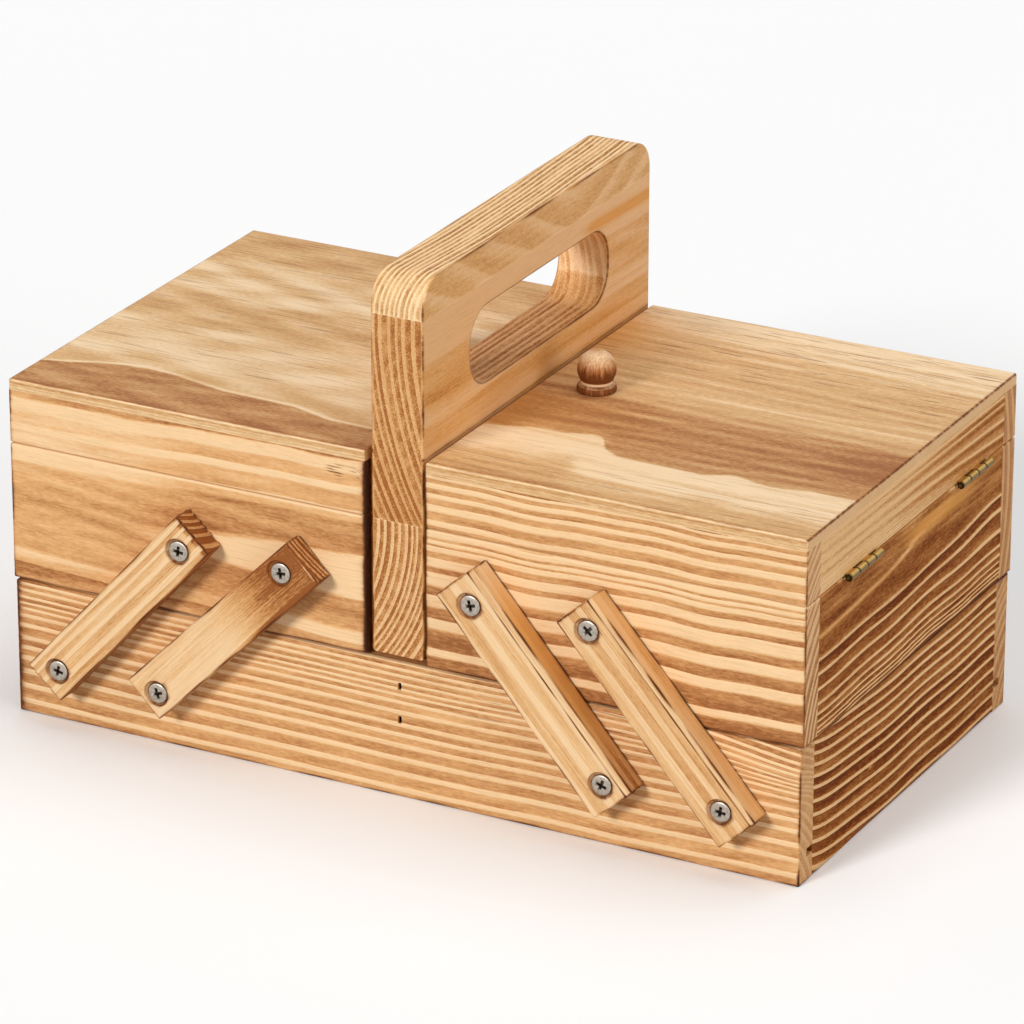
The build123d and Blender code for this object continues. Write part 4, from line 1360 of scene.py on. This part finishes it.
def arm(node, pivots, heart, year, seed, size=(91.8, 18.0), shift=(0.0, 0.0), turn=0.0, lines=(), ends=0.4,
        **looks):
    """The arm between two pivots given as x and z. heart: middle of its rings on v and w. shift and turn:
    how far the lath is off, upwards and to the right in millimetres, and clockwise in degrees. lines: burnt
    lines along it, on v."""
    lower, upper = pivots
    high = np.array((size[0] / 2, size[1] / 2, 0.0))
    low = np.array((-high[0], -high[1], -ARM_THICK))
    steps = ((2.2, NEAR_END), (0.25, NEAR_EDGE), (0.5, NEAR_EDGE))
    made = block(node + "_wood", [grid_lines(low[axis], high[axis], *steps[axis]) for axis in range(3)])
    every = ("-x", "+x", "-y", "+y", "-z", "+z")
    set_points(made.data, ease(points(made.data), low, high, 0.5, every))
    off = (Matrix.Translation((shift[0] / 1000, -shift[1] / 1000, 0))
           @ Matrix.Rotation(math.radians(-turn), 4, "Z"))
    screws = [np.array(off.inverted() @ Vector((u / 1000, 0, 0))) * 1000 for u in (-PITCH / 2, PITCH / 2)]
    outward = Vector((0, -1, 0)) if "front" in node else Vector((0, 1, 0))
    along = Vector((upper[0] - lower[0], 0, upper[1] - lower[1])).normalized()
    left = np.array((-along.x, -outward.cross(along).x))
    rng = np.random.default_rng(seed)
    bend = rng.uniform(-1, 1, 2)
    cut_away(made, [sink(place, 0.35 * left + rng.uniform(-0.12, 0.12, 2)) for place in screws])

    def bent(co):
        u = co[:, 0]
        return 0.5 * bend[0] * np.sin(u / 21 + bend[1]) + 0.02 * bend[1] * u, 0 * u

    def scorched(co):
        u, v, w = co.T
        rim = sum(fading(np.clip(np.hypot(u - place[0], v - place[1]) - 4.6, 0, None), 0.35)
                  for place in screws)
        grooves = sum(bell(v - line, 0.36) * (0.85 + 0.3 * clouds(seed + 9, (u, 30))) for line in lines)
        return 0.52 * rim * (w > -3.5) + 0.7 * grooves * (w > -0.4)

    log = common_trunk(0, heart, math.hypot(*heart) + 25, year, seed, bent)
    dress(made, log, low, high, every, ARM_BRUSHED, burn=1.15, ends=ends, fade=0.1, char=scorched, **looks)
    centre = ((upper[0] + lower[0]) / 2, ARM_FACE * outward.y, (upper[1] + lower[1]) / 2)
    made.data.transform(turned_to(along, outward.cross(along), outward, centre) @ off)
    stand_in(made, node, arm_pine)


print("Screws on an arm are", PITCH, "apart")

# %% [markdown]
# The four arms at the front differ most: one has an amber side, one was burnt at its top, and one was sawn
# across the rings.

# %% Eight arms
RIGHT_OUTER, RIGHT_INNER = ((126.725, 25.829), (77.075, 80.971)), ((82.525, 25.829), (32.875, 80.971))
LEFT_OUTER, LEFT_INNER = ((-129.875, 22.829), (-80.225, 77.971)), ((-89.675, 22.829), (-40.025, 77.971))


def under_side(level, width):
    """A look for the lower long side of an arm of this width."""
    return lambda co: level * (co[:, 1] < 0.1 - width / 2) * (co[:, 2] < -0.3)


def amber_side(co):
    return under_side(0.85, 19.0)(co) * bell(co[:, 0] - 4, 34, 4)


def foot_wash(co):
    return under_side(0.5, 19.0)(co) * smooth(2, -40, co[:, 0])


# burnt at the top, and the lower long side painted darker as shade
def burnt_top(co):
    return 0.9 * smooth(-4, 34, co[:, 0] - 0.4 * co[:, 1]) * (co[:, 0] < 44.5) + under_side(0.6, 17.7)(co)


def but_top(level):
    """A tone for all of the arm but its upper end."""
    return lambda co: level * (co[:, 0] < 44)


arm("right_arm_front_inner", RIGHT_INNER, (30, -55), 2.6, 62, (92.0, 19.0), (0.9, 0.15), 1.2, lines=(-6.4,),
    tone=-0.55, amber=amber_side, wash=foot_wash)
arm("right_arm_front_outer", RIGHT_OUTER, (38, -30), 3.2, 61, (92.4, 17.9), (-0.6, 0.4), 0.5, lines=(-6.6,),
    tone=-0.5, amber=under_side(0.32, 17.9), wash=0.14)
# the lower long side of this arm is painted darker as shade
arm("left_arm_front_outer", LEFT_OUTER, (28, -14), 4.2, 65, (91.7, 17.2), (0.75, -0.5), 0.0,
    ends=0.6, tone=but_top(-0.5), wash=under_side(0.6, 17.2))
arm("left_arm_front_inner", LEFT_INNER, (10, -80), 2.2, 66, (90.7, 17.7), (1.9, 0.4), 2.9,
    ends=0.6, tone=but_top(-0.55), wash=burnt_top)
for node, pivots, heart, year, seed, turn in (
    ("right_arm_back_outer", RIGHT_OUTER, (-20, -34), 3.4, 63, -0.6),
    ("right_arm_back_inner", RIGHT_INNER, (34, 12), 3.0, 64, 0.9),
    ("left_arm_back_outer", LEFT_OUTER, (-40, -12), 3.0, 67, 0.4),
    ("left_arm_back_inner", LEFT_INNER, (12, -40), 3.2, 68, -0.3),
):
    arm(node, pivots, heart, year, seed, turn=turn, tone=-0.2)

# %% [markdown]
# ## The knobs
# A knob is turned on the same lathe. Its outline has a foot, a cove where the flame left a dark ring, and a
# ball.

# %% Knobs
FOOT = (
    (0.0, 0.0), (6.6, 0.0), (6.9, 0.3), (6.95, 1.2), (6.75, 2.1),
    (6.1, 2.6), (5.55, 2.9), (5.3, 3.35), (5.4, 3.8), (5.85, 4.25),
)
BALL_RADIUS = 6.8
BALL_FROM = (5.9, 4.45)
knob_pine = pine("knob_turned", (242, 207, 166), (210, 158, 110), (168, 104, 56), (116, 64, 30), fray=0.1,
                 streaks=0.5, mottle=0.6, resin=0.5, rough=0.45)


def knob_outline(height):
    """Radii and heights of a knob of this height."""
    middle = height - BALL_RADIUS
    angles = np.linspace(math.atan2(BALL_FROM[1] - middle, BALL_FROM[0]), math.pi / 2, 22)[:-1]
    ball = [(BALL_RADIUS * math.cos(a), middle + BALL_RADIUS * math.sin(a)) for a in angles]
    return [*FOOT, *ball, (0.0, height)]


def knob(node):
    low, high = corners(node)
    x, y, foot = (low[0] + high[0]) / 2, (low[1] + high[1]) / 2, low[2]
    shape = lathe(knob_outline(high[2] - foot), 64)
    bmesh.ops.translate(shape, vec=(x / 1000, y / 1000, foot / 1000), verts=shape.verts)
    turned = to_object(shape, node + "_wood")

    def cove_char(co):
        height = co[:, 2] - foot
        return 0.6 * bell(height - 2.75, 0.3) + 0.5 * fading(height, 0.35)

    def brown_foot(co):
        height, angle = co[:, 2] - foot, np.arctan2(co[:, 1] - y, co[:, 0] - x)
        striped = 1.0 + 0.22 * np.sin(angle * 17) * np.sin(angle * 7 + 1)
        on_foot, on_ball = height < 2.5, height > 3.9
        cove = (height > 2.9) * (height < 3.9)
        ball = 0.05 + 1.15 * smooth(14.0, 4.5, height) * striped
        return striped * on_foot + ball * on_ball - 0.2 * cove

    log = common_trunk(2, (x - 90, y + 60), 130, 2.4, 71)
    dress(turned, log, low, high, ("+z", "-x"), {}, burn=0.0, tone=-0.95, wash=brown_foot, char=cove_char)
    level_off(turned, "raw")
    stand_in(turned, node, knob_pine)


knob("right_lid_knob")
knob("left_lid_knob")

# %% [markdown]
# ## Metal and bottom panels
# The hinges, brads, small screws and bottom panels keep their CAD shape, which is right, and get a finish.
# These finishes read Object coordinates, because the CAD meshes have no grain attributes.

# %% Metal
BARREL_FROM = 0.1527
KNUCKLE = 0.00635
GAP = ((0.0, 0.8), (0.07, 0.72), (0.2, 0.0), (0.93, 0.0), (1.0, 0.8))
# painted shade colours: in the gaps between the hinge knuckles, and in the cross recesses of the screw heads
KNUCKLE_GAP_SHADE, RECESS_SHADE = colour(50, 40, 20), colour(58, 45, 32)


def hinge_shade(tree, place, spot, shade, dull_and_shade):
    """Paints shade on the lower side of the hinge barrels and in the gaps between their knuckles."""
    barrel = calc(tree, "GREATER_THAN", calc(tree, "ABSOLUTE", spot["X"]), BARREL_FROM)
    facing = add(tree, "SeparateXYZ", Vector=place["Normal"]).outputs["Z"]
    # painted shade: barrel faces that turn downwards are mixed towards the dull colour
    under = span(tree, facing, From_Min=0.8, From_Max=0.3, To_Min=0.0, To_Max=0.75)
    shade = blend(tree, calc(tree, "MULTIPLY", under, barrel), shade, dull_and_shade)
    first, second = (middle / 1000 for middle in HINGE_MIDDLES)
    behind = calc(tree, "GREATER_THAN", spot["Y"], 0.0)
    from_hinge = calc(tree, "SUBTRACT", spot["Y"], first)
    from_hinge = calc(tree, "MULTIPLY_ADD", behind, first - second, from_hinge)
    # painted shade in the gaps between the knuckles
    gap = ramp(tree, calc(tree, "FRACT", calc(tree, "DIVIDE", from_hinge, KNUCKLE)), *GAP)
    return blend(tree, calc(tree, "MULTIPLY", gap, barrel), shade, KNUCKLE_GAP_SHADE)


def metal(name, bright, dull_and_shade, rough, spread, specks=350.0, worn=0.35, face=0.0, knuckled=False):
    """face: how far from the middle of the box the heads end on y, in metres, because the recess below that
    is painted dark as shade."""
    made = bpy.data.materials.new(name)
    tree = tree_of(made)
    place = add(tree, "TexCoord").outputs
    spot = add(tree, "SeparateXYZ", Vector=place["Object"]).outputs
    noise = add(tree, "TexNoise", Vector=place["Object"], Scale=specks, Detail=4.0, Roughness=0.6)
    cloud = noise.outputs["Fac"]
    wear = calc(tree, "MULTIPLY", ramp(tree, cloud, (0.0, 0.0), (0.42, 0.0), (0.66, 1.0), (1.0, 1.0)), worn)
    shade = blend(tree, wear, colour(*bright), colour(*dull_and_shade))
    # the hinge barrels get painted shade on their lower side and in their knuckle gaps
    if knuckled:
        shade = hinge_shade(tree, place, spot, shade, colour(*dull_and_shade))
    # painted shade: the cross recess in each screw head turns dark below the head's face
    if face:
        limits = {"From_Min": face - 0.0003, "From_Max": face - 0.0009, "To_Min": 0.0, "To_Max": 0.85}
        shade = blend(tree, span(tree, calc(tree, "ABSOLUTE", spot["Y"]), **limits), shade, RECESS_SHADE)
    gloss = span(tree, cloud, To_Min=rough, To_Max=rough + spread)
    skin(tree, (0.2, 0.00006, cloud), Base_Color=shade, Roughness=gloss, Metallic=1.0)
    return made


print("Knuckles are", KNUCKLE * 1000, "mm long")

# %% [markdown]
# The bottom panels are thin veneered wood, so a few broad bands and fine fibres along x are enough. Then
# every CAD node whose slot has one of these finishes gets it.

# %% Panels, and the finishes of the CAD nodes
def ply(name):
    made = bpy.data.materials.new(name)
    tree = tree_of(made)
    place = add(tree, "TexCoord").outputs["Object"]
    fibre = add(tree, "VectorMath", {"operation": "SCALE"}, i0=place, Scale=1000.0).outputs[0]
    bands = stretched(tree, fibre, (0.006, 0.09, 0.09), 2.0)
    fine = stretched(tree, fibre, (0.05, 2.2, 2.2), 3.0, 0.7)
    lines = calc(tree, "FRACT", calc(tree, "MULTIPLY", bands, 9.0))
    centred = calc(tree, "SUBTRACT", fine, 0.5)
    level = calc(tree, "MULTIPLY_ADD", centred, 0.7, calc(tree, "MULTIPLY", lines, 0.5), clamp=True)
    wood = ramp(tree, level, (0.0, colour(236, 206, 160)), (0.6, colour(222, 184, 134)),
                (1.0, colour(196, 150, 100)))
    skin(tree, (0.3, 0.00015, fine), Base_Color=wood, Roughness=0.62)
    return made


screw_looks = {"worn": 0.42, "specks": 900.0, "face": side_at("base_arm_screws", "+y") / 1000}
finishes = {
    "screw_steel": metal("screw_metal", (180, 171, 159), (92, 78, 62), 0.34, 0.15, **screw_looks),
    "small_steel": metal("dark_metal", (112, 92, 76), (60, 46, 38), 0.45, 0.2, worn=0.8),
    "hinge_brass": metal("brass_metal", (198, 163, 92), (70, 58, 32), 0.32, 0.2, worn=0.15, knuckled=True),
    "panel_ply": ply("panel_veneer"),
}
plain = [name for name in nodes if slot_of.get(name) in finishes]
for name in plain:
    nodes[name].data.materials.clear()
    nodes[name].data.materials.append(finishes[slot_of[name]])
print("CAD nodes with a finish:", len(plain))

# %% [markdown]
# ## The arm screws
# A countersunk screw is another lathe shape. Two tapered wedges press the cross into its head, and every
# screw stopped at its own angle. Screws at the back mirror those at the front.

# %% Arm screws
SCREW = (
    (0, 0.0), (2.8, 0.0), (3.35, -0.06), (3.68, -0.2), (3.76, -0.4),
    (3.7, -0.6), (2.0, -2.4), (2.0, -14.7), (0, -17.7),
)
SUNK = 0.2
SLOT = (0.0049, 0.00135, 0.0022)
SLOT_LOW = -0.0005


def wedge(turn):
    """Cutter for one of the two slots of a cross, wide at its top."""
    shape = bmesh.new()
    bmesh.ops.create_cube(shape, size=1)
    bmesh.ops.scale(shape, vec=SLOT, verts=shape.verts)
    bmesh.ops.scale(shape, vec=(0.45, 0.5, 1), verts=[vert for vert in shape.verts if vert.co.z < 0])
    bmesh.ops.translate(shape, vec=(0, 0, SLOT_LOW), verts=shape.verts)
    clockwise = Matrix.Rotation(math.radians(-turn), 3, "Z")
    bmesh.ops.rotate(shape, cent=(0, 0, 0), matrix=clockwise, verts=shape.verts)
    return to_object(shape, "wedge")


def drive_screws(node, *places):
    """All screws of one node. places: the pivot's x and z, and how far the cross is turned clockwise, in
    degrees."""
    group = bmesh.new()
    up = Vector((0, 0, 1))
    for (x, z), turn in places:
        for side in (-1, 1):
            screw = to_object(lathe(SCREW, 40), "screw")
            cut_away(screw, [wedge(turn), wedge(turn + 90)])
            outward = Vector((0, side, 0))
            screw.data.transform(turned_to(up.cross(outward), up, outward, (x, side * (ARM_FACE - SUNK), z)))
            group.from_mesh(screw.data)
            bpy.data.objects.remove(screw)
    made = to_object(group, node + "_steel")
    finish_mesh(made.data)
    stand_in(made, node, finishes["screw_steel"])


drive_screws("base_arm_screws", (RIGHT_OUTER[0], 8), (RIGHT_INNER[0], 20), (LEFT_OUTER[0], 12),
             (LEFT_INNER[0], -18))
drive_screws("right_tray_arm_screws", (RIGHT_OUTER[1], 44), (RIGHT_INNER[1], -14))
drive_screws("left_tray_arm_screws", (LEFT_OUTER[1], 8), (LEFT_INNER[1], -8))

# %% [markdown]
# ## End

# %% End
print("End of the scene")
